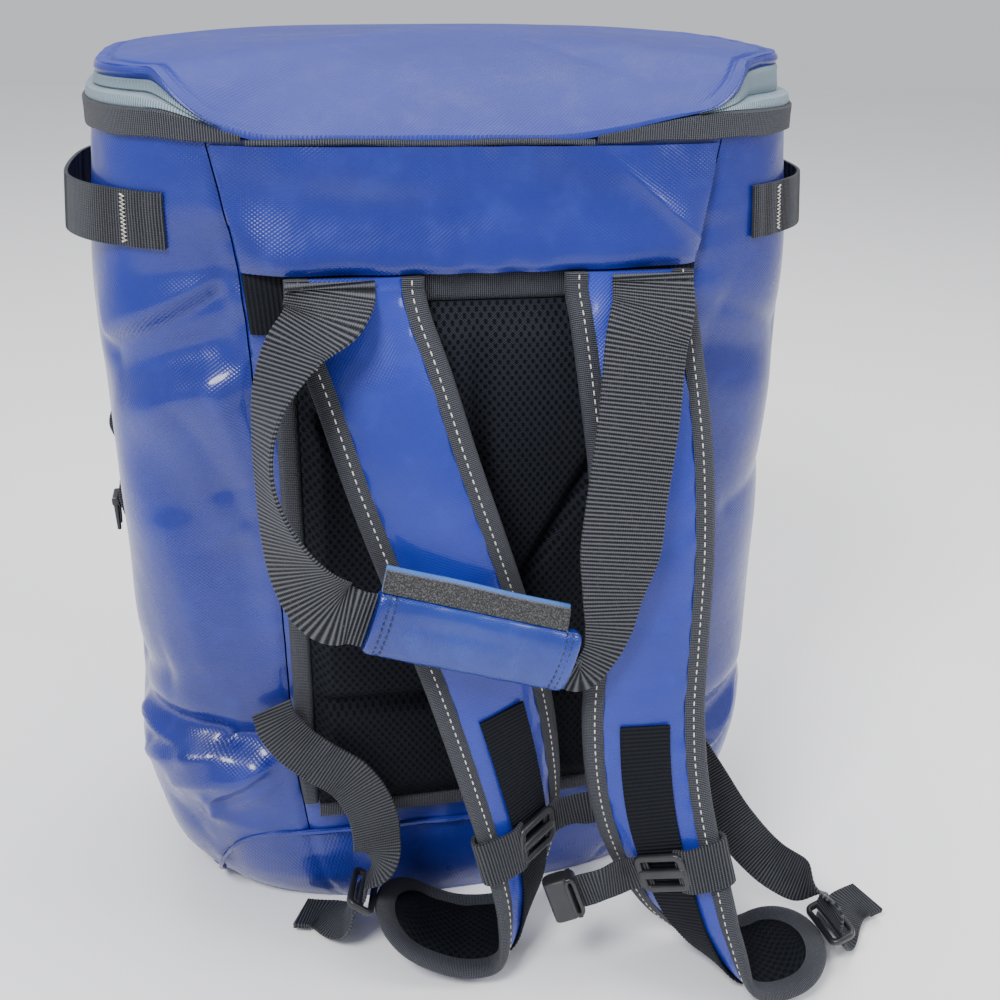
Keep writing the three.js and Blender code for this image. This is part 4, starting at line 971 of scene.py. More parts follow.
YOKE_TOP = BODY_HEIGHT - HINGE_WIDTH / 2 - GAP
YOKE_RISE = 2
YOKE_FOOT = YOKE_TOP - YOKE_HEIGHT + 2
TAB_HEIGHT = 28
PAD_SHOULDER = YOKE_FOOT - TAB_HEIGHT - 2 * GAP
YOKE_ROWS = {"up": (0, 0.07, 0.3, 0.6, 0.85, 1), "lift": (0.86, 1, 0.86, 0.52, 0.3, 0.2)}


def yoke():
    def grid(columns, rows, raised):
        side, up = np.meshgrid(np.linspace(-1, 1, columns), np.linspace(0, 1, rows), indexing="ij")
        height = YOKE_FOOT + up * (YOKE_TOP + YOKE_RISE - YOKE_FOOT)
        turn = side * (seam_around(height) - 1.5 / HALF_GIRTH)
        lift = np.full(side.shape, SEAT)
        if raised:
            x = side * seam_x(height)
            puff = lookup(YOKE_ROWS, "up", up, "lift") * YOKE_THICK * (1 - 0.75 * np.abs(side) ** 8)
            ripple = 0.8 * pucker(x, 4.6, 21, 1.5) * np.exp(-up / 0.1)
            top_ripple = 0.6 * pucker(x, 5.3, 17) * np.exp(-(1 - up) / 0.12)
            hollow = -4.2 * np.exp(-(((x + 22) / 62) ** 2) - ((up - 0.5) / 0.28) ** 2)
            fold = 3.0 * np.exp(-np.abs(x - 96 + 60 * (up - 0.4)) / 9) * np.sin(math.pi * up)
            wave = 1.6 * np.sin(x / 23 + 4 * up) * np.sin(math.pi * up)
            roots = bell(x + 56, 30) + bell(x - 70, 30)
            lift = lift + puff + ripple + top_ripple + wave + hollow + fold
            lift = lift - 1.8 * roots * bell(up, 0.12)
        return skin(turn, height, lift), turn * HALF_GIRTH, height

    padded_panel("yoke_cover", "yoke_panel", grid, 241, 81, TARP)


def plate(name, front, back, material, along=None):
    """Closed band between a front grid and a back grid of points."""
    rings = np.concatenate([front, back[:, ::-1]], axis=1)
    if along is None:
        along = run_length(front.mean(1))
    return loft(name, rings, material, along=along)


def back_strip(name, node, x, height, thick=BINDING_THICK, material=BINDING):
    """Band on the back panel: grids of x and height, softly rounded over its thickness."""
    columns = x.shape[1]
    across = np.linspace(-1, 1, columns)[None, :]
    lift = SEAT + thick * (1 - 0.55 * np.abs(across) ** 6)
    piece = plate(name, on_back(x, height, lift), on_back(x, height, SEAT), material)
    dress(piece, node)


def back_bindings():
    for side, sign in HAND.items():
        height = np.linspace(PAD_BOTTOM, PAD_SHOULDER, 141)[:, None]
        near = PAD_WIDTH / 2 + GAP
        far = np.minimum(near + PAD_BINDING, seam_x(height) - 1)
        x = sign * (near + (far - near) * WEB_SHARES)
        back_strip(f"pad_edge_{side}", f"pad_binding_{side}", x, height + 0 * x)
        level = YOKE_FOOT - GAP - TAB_HEIGHT * WEB_SHARES
        outside = seam_x(level) - 2
        share = np.linspace(0, 1, 41)[:, None]
        x = sign * (PAD_NECK + 4 + share * (outside - PAD_NECK - 4))
        back_strip(f"yoke_web_{side}", f"yoke_tab_{side}", x, level + 0 * x, WEB_THICK, SHADED_STRIP_WEB)
    x = np.linspace(-PAD_WIDTH / 2, PAD_WIDTH / 2, 161)[:, None]
    level = PAD_BOTTOM - GAP - PAD_BINDING * WEB_SHARES
    back_strip("pad_edge_bottom", "pad_binding_bottom", x + 0 * level, level + 0 * x)
    x = np.linspace(-PAD_NECK + 8, PAD_NECK - 8, 81)[:, None]
    level = PAD_TOP + GAP + (YOKE_FOOT - 2 * GAP - PAD_TOP) * WEB_SHARES
    back_strip("pad_edge_top", "pad_binding_top", x + 0 * level, level + 0 * x)


def pad_channels(x, height):
    """Depth share of the sewn channels of the back pad."""
    middle = bell(x, 6) * (1 - 0.5 * smoothstep(300, 340, height))
    level = bell(height - 150, 5)
    slant = bell(np.abs(x) - 12 - (height - 195) * 0.55, 5) * smoothstep(190, 200, height)
    return np.maximum(np.maximum(middle, level), slant * (1 - smoothstep(300, 320, height)))


def back_pad():
    def grid(columns, rows, raised):
        half = PAD_WIDTH / 2
        x, up = np.meshgrid(np.linspace(-half, half, columns), np.linspace(0, 1, rows), indexing="ij")
        shoulder = smoothstep(PAD_NECK - 8, PAD_NECK, np.abs(x))
        top = PAD_TOP + (PAD_SHOULDER - PAD_TOP) * shoulder
        height = PAD_BOTTOM + up * (top - PAD_BOTTOM)
        lift = np.full(x.shape, SEAT)
        if raised:
            border = np.maximum(smoothstep(0.88, 1, np.abs(x) / half), smoothstep(0.94, 1, up))
            border = np.maximum(border, 1 - smoothstep(0, 0.06, up))
            full = PAD_THICK * (1 - 0.6 * pad_channels(x, height))
            lift = SEAT + full + (3.4 - full) * border + 0.3 * np.sin(x / 9) * np.sin(height / 13)
        return on_back(x, height, lift), x, height

    padded_panel("mesh_pad", "back_pad", grid, 169, 241, AIR_MESH)


# Shoulder straps

BACK_DEPTH = float(body_row(0.8, "back")) * BODY_DEPTH
ROOT_HEIGHT = YOKE_FOOT - GAP - SEAT


def placed(rows):
    """Rows of shares, as places in front of the back panel."""
    return [
        (x * BODY_WIDTH, -BACK_DEPTH - y * BODY_DEPTH, z * ROOT_HEIGHT, *rest) for x, y, z, *rest in rows
    ]


STRAP_ROWS = {
    # x, y, z, yaw, tilt
    "left": [
        (-0.16, 0.036, 1.0, 0, 0), (-0.16, 0.039, 0.98, 0, 0), (-0.153, 0.066, 0.94, 0, 7),
        (-0.132, 0.115, 0.876, 0, 10), (-0.1, 0.15, 0.77, 0, 12), (-0.054, 0.166, 0.635, 3, 15),
        (-0.004, 0.168, 0.484, 12, 14), (0.032, 0.168, 0.343, 26, 10), (0.054, 0.168, 0.219, 40, 0),
        (0.056, 0.165, 0.114, 56, 0), (0.028, 0.158, 0.039, 72, 0), (-0.028, 0.14, 0.025, 80, 0),
        (-0.094, 0.118, 0.046, 82, 0), (-0.142, 0.1, 0.087, 82, 0),
    ],
    "right": [
        (0.2, 0.036, 1.0, 0, 0), (0.2, 0.039, 0.98, 0, 0), (0.204, 0.065, 0.945, 0, 0),
        (0.212, 0.118, 0.859, 0, 0), (0.222, 0.152, 0.765, 0, 0), (0.227, 0.182, 0.64, 0, 0),
        (0.222, 0.208, 0.519, -3, 0), (0.217, 0.232, 0.414, -10, -2), (0.228, 0.262, 0.3, -20, -4),
        (0.258, 0.288, 0.197, -34, 0), (0.305, 0.318, 0.095, -52, 0), (0.362, 0.338, 0.032, -70, 0),
        (0.424, 0.338, 0.028, -82, 0), (0.485, 0.32, 0.06, -84, 0),
    ],
}
STRAPS = {side: smooth_route(placed(rows)) for side, rows in STRAP_ROWS.items()}
STRAP_BODY = 0.93
EDGE_GAP = 0.8
PAD_HALF = STRAP_WIDTH / 2 - STRAP_EDGE - EDGE_GAP
STRIP_START = {"left": 0.48, "right": 0.53}
STRIP_LIFT = STRAP_THICK / 2 + 0.8 + WEB_THICK / 2


def strap_frames(side, step=1.6):
    t = even_shares(STRAPS[side], 0, STRAP_BODY, step)
    return t, STRAPS[side](t)


def strap_half(side, face):
    """Front half of a strap in coated cloth, or its back half in air mesh."""
    t, frames = strap_frames(side)
    sign = 1 if face else -1
    length = run_length(frames["point"])
    swell = 0.55 + 0.45 * smoothstep(0, 0.08, t)
    tips = np.radians(np.linspace(0, 88, 14))[1:]
    end = STRAPS[side](np.full(len(tips), STRAP_BODY))
    frames = {key: np.concatenate([frames[key], end[key]]) for key in frames}
    half = np.concatenate([np.full(len(t), PAD_HALF + 0.5), (PAD_HALF + 0.5) * np.cos(tips)])
    shift = np.concatenate([np.zeros(len(t)), (STRAP_TIP + 0.5) * np.sin(tips)])
    along = np.concatenate([length, length[-1] + STRAP_TIP * np.sin(tips)])
    swell = np.concatenate([swell, np.cos(tips) ** 0.4])
    share = np.sin(np.linspace(-math.pi / 2, math.pi / 2, 25))
    crown = 2.2 + 2.7 * (1 - np.abs(share) ** 3.4)
    wrinkle = 0.3 * np.sin(along[:, None] / 7.3 + 2.2 * share) * np.cos(along[:, None] / 23)
    pull = 0.3 * np.sin(along[:, None] / 2.9) * np.abs(share) ** 6
    n = (crown * swell[:, None] + wrinkle + pull) * sign
    a = share * half[:, None]
    top = on_frames(frames, a, n, shift[:, None])
    low = on_frames(frames, a, 0 * n, shift[:, None])
    rings = np.concatenate([top, low[:, ::-1]], axis=1)
    name = f"strap_{'face' if face else 'lining'}_{side}"
    across = np.concatenate([share * PAD_HALF, (share * PAD_HALF)[::-1], share[:1] * PAD_HALF])
    piece = loft(name, rings, STRAP_CLOTH if face else AIR_MESH, along=along, across=across)
    dress(piece, f"strap_pad_{side}")


EDGE_LOOP = [(0, 2.7), (0.25, 3.2), (0.55, 3.1), (0.8, 2.5), (0.95, 1.4), (1, 0)]


def edge_run(side):
    """Frames, sideways and forward turns of the binding, down one edge, round the
    tip and up the other edge."""
    t, _ = strap_frames(side, 1.2)
    tips = np.radians(np.linspace(-90, 90, 61))[1:-1]
    shares = np.concatenate([t, np.full(len(tips), STRAP_BODY), t[::-1]])
    sines = np.concatenate([np.full(len(t), -1.0), np.sin(tips), np.full(len(t), 1.0)])
    cosines = np.concatenate([np.zeros(len(t)), np.cos(tips), np.zeros(len(t))])
    return STRAPS[side](shares), sines, cosines


def on_edge(run, w, n):
    """Point of the binding: share of its width, and lift out of the strap's middle."""
    frames, sines, cosines = run
    a = (PAD_HALF + EDGE_GAP + STRAP_EDGE * w) * sines
    s = (STRAP_TIP + EDGE_GAP + STRAP_EDGE * w) * cosines
    return on_frames(frames, a, n, s)


def strap_edge(side):
    run = edge_run(side)
    loop = EDGE_LOOP + [(w, -n) for w, n in EDGE_LOOP[-2::-1]]
    rings = np.stack([on_edge(run, w - 0.06 * (w == 0), n) for w, n in loop], 1)
    piece = loft(f"strap_edge_{side}", rings, BINDING, along=run_length(rings[:, 5]))
    dress(piece, f"strap_binding_{side}")
    stitches(f"strap_stitches_front_{side}", [(on_edge(run, 0.38, 3.15), run[0]["out"])])


STITCH_SIDES = 6


def stitches(name, lines, length=2.6, pitch=4.1, radius=0.33):
    """Sewn stitches along lines; a line is a row of points and their outward directions."""
    stations = np.array([-0.5, -0.44, -0.25, 0, 0.25, 0.44, 0.5])
    sizes = np.array([0.3, 0.85, 1, 1, 1, 0.85, 0.3])
    sinks = np.array([-1.1, -0.4, 0.1, 0.25, 0.1, -0.4, -1.1])
    angles = np.linspace(0, 2 * math.pi, STITCH_SIDES + 1)[:-1]
    points = []
    for line, outward in lines:
        run = run_length(line)
        at = np.arange(pitch / 2, run[-1], pitch)
        middle, ahead, out = (
            np.stack([np.interp(spots, run, values[:, k]) for k in range(3)], 1)
            for spots, values in ((at, line), (at + 0.5, line), (at, outward))
        )
        along = unit(ahead - middle)
        side = unit(np.cross(along, out))
        spot = middle[:, None, None] + along[:, None, None] * (stations * length)[None, :, None, None]
        ring_side = (sizes[:, None] * np.cos(angles))[None, :, :, None] * radius
        ring_out = (sizes[:, None] * np.sin(angles) * 0.8 + sinks[:, None])[None, :, :, None] * radius
        points.append(spot + side[:, None, None] * ring_side + out[:, None, None] * ring_out)
    points = np.concatenate(points)
    loop = len(angles)
    block = len(stations) * loop
    i, j = np.meshgrid(np.arange(len(stations) - 1) * loop, np.arange(loop), indexing="ij")
    k = (j + 1) % loop
    quads = np.stack([i + j, i + loop + j, i + loop + k, i + k], -1).reshape(1, -1, 4)
    ends = np.array([list(range(loop))[::-1], list(range(block - loop, block))])[None]
    shift = (np.arange(len(points)) * block)[:, None, None]
    faces = (quads + shift).reshape(-1, 4).tolist() + (ends + shift).reshape(-1, loop).tolist()
    return dress(put_mesh(name, points.reshape(-1, 3), faces, THREAD))


def bar_tack(name, at, sway, count, place, radius):
    """Zigzag thread: place gives its points from their place along the band, which
    sways from stitch to stitch, and their share of the way across it."""
    points = place(at + sway * (1 - 2 * (np.arange(count) % 2)), 2 * np.linspace(0, 1, count) - 1)
    ahead = unit(np.gradient(points, axis=0))
    side = unit(np.cross(ahead, (0.3, -1, 0.2)))
    up = np.cross(ahead, side)
    angles = np.linspace(0, 2 * math.pi, STITCH_SIDES + 1)[:-1]
    rings = points[:, None] + radius * (
        side[:, None] * np.cos(angles)[:, None] + up[:, None] * np.sin(angles)[:, None]
    )
    dress(loft(name, rings, THREAD))


def web_on(
    name, node, route, start, end, width=WEB_WIDTH, thick=WEB_THICK, lift=0.0, material=WEB, rib=RIB
):
    """Ribbed webbing along a route, at a lift out of it."""
    t = even_shares(route, start, end, rib / 4)
    frames = route(t)
    length = run_length(frames["point"])
    loop = flat_loop(width, thick)
    ribbed = np.abs(loop[:, 0]) < width / 2
    wave = 1 + RIB_HEIGHT * 2 / thick * np.sin(2 * math.pi * length / rib)[:, None] * ribbed
    a = loop[None, :, 0] * frames["share"][:, None]
    n = loop[None, :, 1] * wave + lift
    piece = loft(name, on_frames(frames, a, n), material, along=length)
    return dress(piece, node)


def strap_pieces(side):
    strap_half(side, True)
    strap_half(side, False)
    strap_edge(side)
    web_on(
        f"strip_web_{side}", f"strap_strip_{side}", STRAPS[side], STRIP_START[side] + 0.01, STRAP_BODY,
        lift=STRIP_LIFT, material=SHADED_STRIP_WEB, rib=STRIP_RIB,
    )


# Sliders, buckles and lower webbing

SLIDER_AT = {"left": 0.612, "right": 0.692}
SLIDER_WIDTH = 28
SLIDER_HEIGHT = 23
SLIDER_LIFT = STRIP_LIFT + WEB_THICK / 2 + 1.4
WRAP_GAP = 1.4
PLASTIC_SHARP = 38
SLIDER_RAIL = 4
SLIDER_THICK = 3
BUCKLE_SIZE = (25, 14, 9.6)
COLLAR_SIZE = (24.4, 6.4, 2.2, 10.4)
LADDER_LENGTH = 16
LADDER_RAIL = 3.2
LADDER_THICK = 3.8


def one_frame(route, t):
    return {key: value[0] for key, value in route(t).items()}


def in_frame(frame, a, s, n):
    """Points at distances across, along and out of one frame."""
    a, s, n = (np.asarray(k, float)[..., None] for k in np.broadcast_arrays(a, s, n))
    return frame["point"] + frame["across"] * a + frame["along"] * s + frame["out"] * n


def rounded_rectangle(width, height, radius, steps=6):
    """Closed row of points round a rectangle with rounded corners."""
    angles = np.linspace(0, math.pi / 2, steps + 1)
    points = []
    for k, (x, y) in enumerate(((1, 1), (-1, 1), (-1, -1), (1, -1))):
        turn = angles + k * math.pi / 2
        across = x * (width / 2 - radius) + radius * np.cos(turn)
        points.append(np.stack([across, y * (height / 2 - radius) + radius * np.sin(turn)], 1))
    return np.concatenate(points)


def join(name, pieces, node):
    """One moulded object from several made for the same sub-part."""
    first = pieces[0]
    work = bmesh.new()
    for piece in pieces:
        work.from_mesh(piece.data)
    work.to_mesh(first.data)
    work.free()
    first.data.set_sharp_from_angle(angle=math.radians(PLASTIC_SHARP))
    for piece in pieces[1:]:
        bpy.data.objects.remove(piece)
    first.name = name
    return dress(first, node)


def rail_loop(frame, width, height, rail, thick, n):
    """Moulded rail bent to a rounded rectangle."""
    path = rounded_rectangle(width - rail, height - rail, 3.2)
    outward = unit(rounded_rectangle(width, height, 3.2 + rail / 2) - path)
    loop = rounded_rectangle(rail, thick, min(rail, thick) * 0.38, 3)
    flat = path[:, None] + outward[:, None] * loop[None, :, :1]
    points = in_frame(frame, flat[..., 0], flat[..., 1], n + loop[None, :, 1])
    return loft("rail", points, PLASTIC, closed=True, sharp=PLASTIC_SHARP)


def bar(frame, length, width, thick, a, s, n, taper=0.0, turned=False):
    """Moulded bar across a frame, or along it when turned, with rounded edges."""
    loop = rounded_rectangle(width, thick, min(width, thick) * 0.36, 3)
    stations = np.array([-1, -0.985, -0.94, -0.8, 0, 0.8, 0.94, 0.985, 1])
    sizes = np.array([0.72, 0.88, 1, 1, 1, 1, 1, 0.88, 0.72])
    sizes = sizes * (1 - taper * (stations + 1) / 2)
    reach = stations[:, None] * length / 2 + 0 * loop[:, 0]
    wide = sizes[:, None] * loop[:, 0]
    high = sizes[:, None] * loop[:, 1]
    if turned:
        points = in_frame(frame, a + wide, s + reach, n + high)
    else:
        points = in_frame(frame, a + reach, s + wide, n + high)
    return loft("bar", points, PLASTIC, sharp=PLASTIC_SHARP)


def slider(side):
    frame = one_frame(STRAPS[side], SLIDER_AT[side])
    n = SLIDER_LIFT + SLIDER_THICK / 2
    rail = rail_loop(frame, SLIDER_WIDTH, SLIDER_HEIGHT, SLIDER_RAIL, SLIDER_THICK, n)
    middle = bar(frame, SLIDER_WIDTH - 3, 5.4, 3.2, 0, 0, n + 0.5)
    join(f"slider_{side}", [rail, middle], f"sternum_slider_{side}")


def slider_wrap(side):
    """Webbing from the slider round the strap's outer edge to its back."""
    hand = HAND[side]
    front = SLIDER_LIFT + SLIDER_THICK / 2
    edge = STRAP_WIDTH / 2
    back = STRAP_THICK / 2 + 0.8 + WEB_THICK / 2
    rows = np.array([
        (SLIDER_WIDTH / 2 - 6, front - 1.2), (SLIDER_WIDTH / 2 + WRAP_GAP, front), (edge * 0.78, back + 1),
        (edge + WEB_THICK, 2.5), (edge + WEB_THICK, -2.5), (edge * 0.78, -back), (edge * 0.35, -back),
    ])
    spots = np.linspace(0, 1, 121)
    keyed = {"key": np.linspace(0, 1, len(rows)), "a": rows[:, 0], "n": rows[:, 1]}
    path = np.stack([lookup(keyed, "key", spots, "a"), lookup(keyed, "key", spots, "n")], 1)
    length = run_length(path)
    run = unit(np.gradient(path, axis=0))
    width = np.linspace(-0.5, 0.5, 9)
    strap = STRAPS[side]
    total = run_length(strap(np.linspace(0, 1, 60))["point"])[-1]
    frames = strap(SLIDER_AT[side] + width * STERNUM_WIDTH / total)
    wave = 0.8 + 0.16 * np.sin(2 * math.pi * length / RIB)

    def face(sign):
        a = hand * (path[:, 0] - sign * run[:, 1] * wave)
        n = path[:, 1] + sign * run[:, 0] * wave
        return on_frames(frames, a[None, :], n[None, :]).swapaxes(0, 1)

    wrap = plate(f"wrap_web_{side}", face(1), face(-1), WEB, along=length)
    dress(wrap, f"sternum_wrap_{side}")


STERNUM_ROWS = {
    "left": [(0.165, 0.158, 0.24, 90, 86), (0.2, 0.15, 0.24, 90, 86)],
    "right": [(0.155, 0.292, 0.172, 90, 84), (0.125, 0.285, 0.162, 90, 84)],
}


def sternum_route(side):
    frame = one_frame(STRAPS[side], SLIDER_AT[side])
    hand = -HAND[side]
    yaw = math.degrees(math.atan2(-frame["along"][1], -frame["along"][0]))
    tilt = math.degrees(math.asin(-frame["along"][2]))
    lift = SLIDER_LIFT + SLIDER_THICK / 2
    inside = in_frame(frame, hand * (SLIDER_WIDTH / 2 - 7), 0, lift - 1.3)
    start = in_frame(frame, hand * (SLIDER_WIDTH / 2 + WRAP_GAP + 5), 0, lift)
    rows = [(*inside, yaw, tilt), (*start, yaw, tilt)]
    return smooth_route(rows + placed(STERNUM_ROWS[side]))


def sternum(side):
    route = sternum_route(side)
    web_on(f"sternum_web_{side}", f"sternum_webbing_{side}", route, 0, 1, width=STERNUM_WIDTH - 0.5)
    frame = one_frame(route, 1)
    body = bar(frame, *BUCKLE_SIZE, 0, 9.9, 0)
    collar = rail_loop({**frame, "point": in_frame(frame, 0, 3.2, 0)}, *COLLAR_SIZE, 0)
    ribs = [bar(frame, 18, 1.2, 1.0, 0, 7 + 3 * k, 5.0) for k in range(4)]
    join(f"buckle_{side}", [body, collar, *ribs], f"sternum_buckle_{side}")


def adjuster_frame(side):
    frame = one_frame(STRAPS[side], STRAP_BODY)
    reach = STRAP_TIP + EDGE_GAP + STRAP_EDGE + GAP + LADDER_LENGTH / 2
    frame["point"] = frame["point"] + frame["along"] * reach
    return frame


def adjuster(side):
    frame = adjuster_frame(side)
    rail = rail_loop(frame, WEB_WIDTH + 6, LADDER_LENGTH, LADDER_RAIL, LADDER_THICK, 0)
    middle = bar(frame, WEB_WIDTH + 3, LADDER_RAIL, LADDER_THICK, 0, 0, 0.2)
    join(f"ladder_{side}", [rail, middle], f"adjuster_{side}")


LOWER_ROWS = {
    "left": [
        (-0.3, 0.022, 0.405, 0, 56), (-0.292, 0.045, 0.385, 0, 56), (-0.27, 0.066, 0.36, 0, 54),
        (-0.236, 0.085, 0.335, 0, 50), (-0.194, 0.098, 0.305, 0, 40), (-0.166, 0.111, 0.255, 0, 24),
        (-0.16, 0.116, 0.195, 0, 8),
    ],
    "right": [
        (0.272, 0.025, 0.37, 0, 30), (0.315, 0.045, 0.3, 0, 34), (0.36, 0.085, 0.23, 0, 34),
        (0.4, 0.14, 0.17, 0, 32), (0.45, 0.2, 0.12, -8, 26),
    ],
}
TAIL_ROWS = {
    "left": [
        (-0.2, 0.08, 0.066, 82, 0), (-0.214, 0.04, 0.03, 82, -4), (-0.24, -0.012, 0.014, 84, -8),
        (-0.277, -0.034, 0.012, 84, -8),
    ],
    "right": [
        (0.545, 0.305, 0.026, -83, 0), (0.565, 0.258, 0.019, -80, 0), (0.593, 0.217, 0.019, -78, 0),
        (0.636, 0.196, 0.02, -78, 0),
    ],
}


def lower_pieces(side):
    frame = adjuster_frame(side)
    end = in_frame(frame, 0, 0, -2 - WEB_THICK / 2 - 0.3)
    lift = in_frame(frame, 0, 3, -14)
    yaw = math.degrees(math.atan2(frame["across"][1], frame["across"][0]))
    turn = yaw - 180 if side == "left" else yaw
    rows = placed(LOWER_ROWS[side]) + [(*lift, turn, 0), (*end, turn, 0)]
    web_on(f"lower_web_{side}", f"lower_webbing_{side}", smooth_route(rows), 0, 1)
    start = in_frame(frame, 0, 0, 2 + 0.6 + 4)
    rows = [(*in_frame(frame, 0, 0, 2.6), yaw, 0), (*start, yaw, 0)] + placed(TAIL_ROWS[side])
    route = smooth_route(rows)
    web_on(f"tail_web_{side}", f"webbing_tail_{side}", route, 0.02, 1)
    t = even_shares(route, 0.02, 1, 1)
    hem = t[-8]
    web_on(f"tail_hem_{side}", f"webbing_tail_{side}", route, hem, 1, width=WEB_WIDTH - 0.6, lift=WEB_THICK)
    frames = route(np.full(15, hem + (1 - hem) * 0.2))
    a = np.linspace(-11.5, 11.5, 15)[:, None]
    line = frames["point"] + frames["across"] * a + frames["out"] * (WEB_THICK * 1.5 + 0.2)
    stitches(f"tail_stitches_{side}", [(line, frames["out"])], length=1.5, pitch=2.4, radius=0.25)


# Carry handle

HANDLE_ROWS = {
    # x, y, z, yaw, tilt, share of the width
    "left": [
        (-0.192, 0.062, 1.0, 0, 0), (-0.192, 0.066, 0.988, 0, 0), (-0.205, 0.108, 0.965, -22, 0),
        (-0.242, 0.143, 0.935, -54, 0), (-0.277, 0.183, 0.878, -76, 0), (-0.288, 0.213, 0.808, -80, 0),
        (-0.274, 0.234, 0.73, -66, 10), (-0.246, 0.247, 0.665, -42, 25),
        (-0.215, 0.256, 0.63, -15, 45, 0.9),
    ],
    "right": [
        (0.227, 0.062, 1.0, 0, 0), (0.227, 0.066, 0.988, 0, 0), (0.222, 0.1, 0.965, 0, 0),
        (0.207, 0.14, 0.927, 0, -4), (0.19, 0.2, 0.835, 0, -6), (0.173, 0.235, 0.74, 0, -6),
        (0.164, 0.254, 0.675, 0, -8), (0.156, 0.26, 0.617, 0, -12, 0.77),
        (0.152, 0.263, 0.574, 0, -22, 0.62), (0.142, 0.264, 0.54, 0, -55, 0.5),
    ],
}
STRAND_END = {"left": (0, 0.7), "right": (6, 0.46)}
GRIP_CENTRE = np.array(placed([(-0.034, 0.265, 0.573)])[0])
GRIP_TILT = -18.5


def grip_frame():
    angle = math.radians(GRIP_TILT)
    return {
        "point": GRIP_CENTRE,
        "along": np.array([math.cos(angle), 0, math.sin(angle)]),
        "across": np.array([-math.sin(angle), 0, math.cos(angle)]),
        "out": np.array([0.0, -1, 0]),
    }


def handle_strand(side):
    frame = grip_frame()
    hand = HAND[side]
    drop, share = STRAND_END[side]
    tilt = GRIP_TILT - 90 * hand
    rows = placed(HANDLE_ROWS[side])
    for reach in (8, 0.6):
        rows.append((*in_frame(frame, -drop, hand * (GRIP_LENGTH / 2 + reach), 0), 0, tilt, share))
    web_on(
        f"handle_web_{side}", f"handle_webbing_{side}", smooth_route(rows), 0, 1,
        width=HANDLE_WIDTH, thick=HANDLE_THICK, material=HANDLE_WEB, rib=HANDLE_RIB,
    )


def grip():
    frame = grip_frame()
    angles = np.radians(np.linspace(0, 360, 49)[:-1])
    end = GRIP_LENGTH / 2
    tip = np.array([0, 0.2, 1]) - end
    s = np.concatenate([tip, np.linspace(2 - end, end - 2, 95), -tip[::-1]])
    full = 1 - 0.1 * np.exp(-((end - np.abs(s)) / 1.2)) - 0.03 * bell(np.abs(s) - end + 7, 1.2)
    a = GRIP_HEIGHT / 2 * np.sin(angles)[None] * full[:, None]
    round_off = np.sign(np.cos(angles)) * np.maximum(np.abs(np.cos(angles)), 0.12) ** 0.6
    n = GRIP_THICK / 2 * round_off[None] * full[:, None]
    wrinkle = 0.35 * np.sin(s[:, None] / 4.1 + 2 * np.sin(angles)) * np.cos(s[:, None] / 13 + angles)
    dent = 1.0 * np.exp(-(((s[:, None] + 12) / 26) ** 2) - ((np.sin(angles) - 0.3) / 0.25) ** 2)
    n = n + (wrinkle - dent * (np.cos(angles) > 0)) * np.sign(np.cos(angles))
    across = np.concatenate([angles, [2 * math.pi]]) * GRIP_HEIGHT / 2.4
    piece = loft("grip_cover", in_frame(frame, a, s[:, None], n), GRIP_CLOTH, along=s, across=across)
    dress(piece, "grip_sleeve")
    lines = []
    for sign in (-1, 1):
        for reach in (41.5, 44.5):
            phi = np.radians(np.linspace(-62, 72, 20))
            sine, cosine = np.sin(phi), np.cos(phi)
            a_line = GRIP_HEIGHT / 2 * sine
            n_line = GRIP_THICK / 2 * cosine**0.6 + 0.1
            outward = frame["out"] * cosine[:, None] + frame["across"] * sine[:, None]
            lines.append((in_frame(frame, a_line, sign * reach, n_line), outward))
    rows = stitches("grip_stitches", lines, length=2.2, pitch=3.2, radius=0.3)
    rows.data.materials[0] = DARK_THREAD
    lean = 0.55
    low = GRIP_HEIGHT / 2 + 0.3
    for name, node, front, width, thick, material, slot in (
        ("hook_strip", "grip_hook_tape", 3, 10, 1.5, HOOK, "webbing"),
        ("flap_edge", "grip_flap", 1.2, 11.5, 1, FLAP_CLOTH, "tarp"),
    ):
        s = np.linspace(-end, end - 8, 91)[:, None]
        w = WEB_SHARES * width
        wavy = 0.4 * np.sin(s / 9.1) * w / width

        def face(push):
            return in_frame(frame, low + w * math.cos(lean), s, front - push - w * math.sin(lean) + wavy)

        piece = plate(name, face(0), face(thick), material)
        dress(piece, node)


# Loops and clips at the sides

GRAB_ROWS = {
    "around": (0.232, 0.275, 0.32, 0.37, 0.43, 0.5, 0.56, 0.61, 0.65, 0.69),
    "lift": (0.05, 0.04, 0.45, 0.86, 1, 0.98, 0.8, 0.4, 0, 0),
}
GRAB_START, GRAB_END = 0.232, 0.69
GRAB_MIDDLE = 0.92 * BODY_HEIGHT
GRAB_LIFT = 10
DAISY_ROWS = {
    "down": (0, 0.17, 0.27, 0.36, 0.45, 0.54, 0.6, 0.66, 0.74, 1),
    "lift": (0, 0, 1, 0.1, 0, 0.7, 1.1, 0.7, 0, 0),
}
DAISY_TOP = 300
DAISY_BOTTOM = 170
DAISY_LENGTH = DAISY_TOP - DAISY_BOTTOM
DAISY_SEAT = 0.5
DAISY_LIFT = 3.4
DAISY_TURN = 0.51


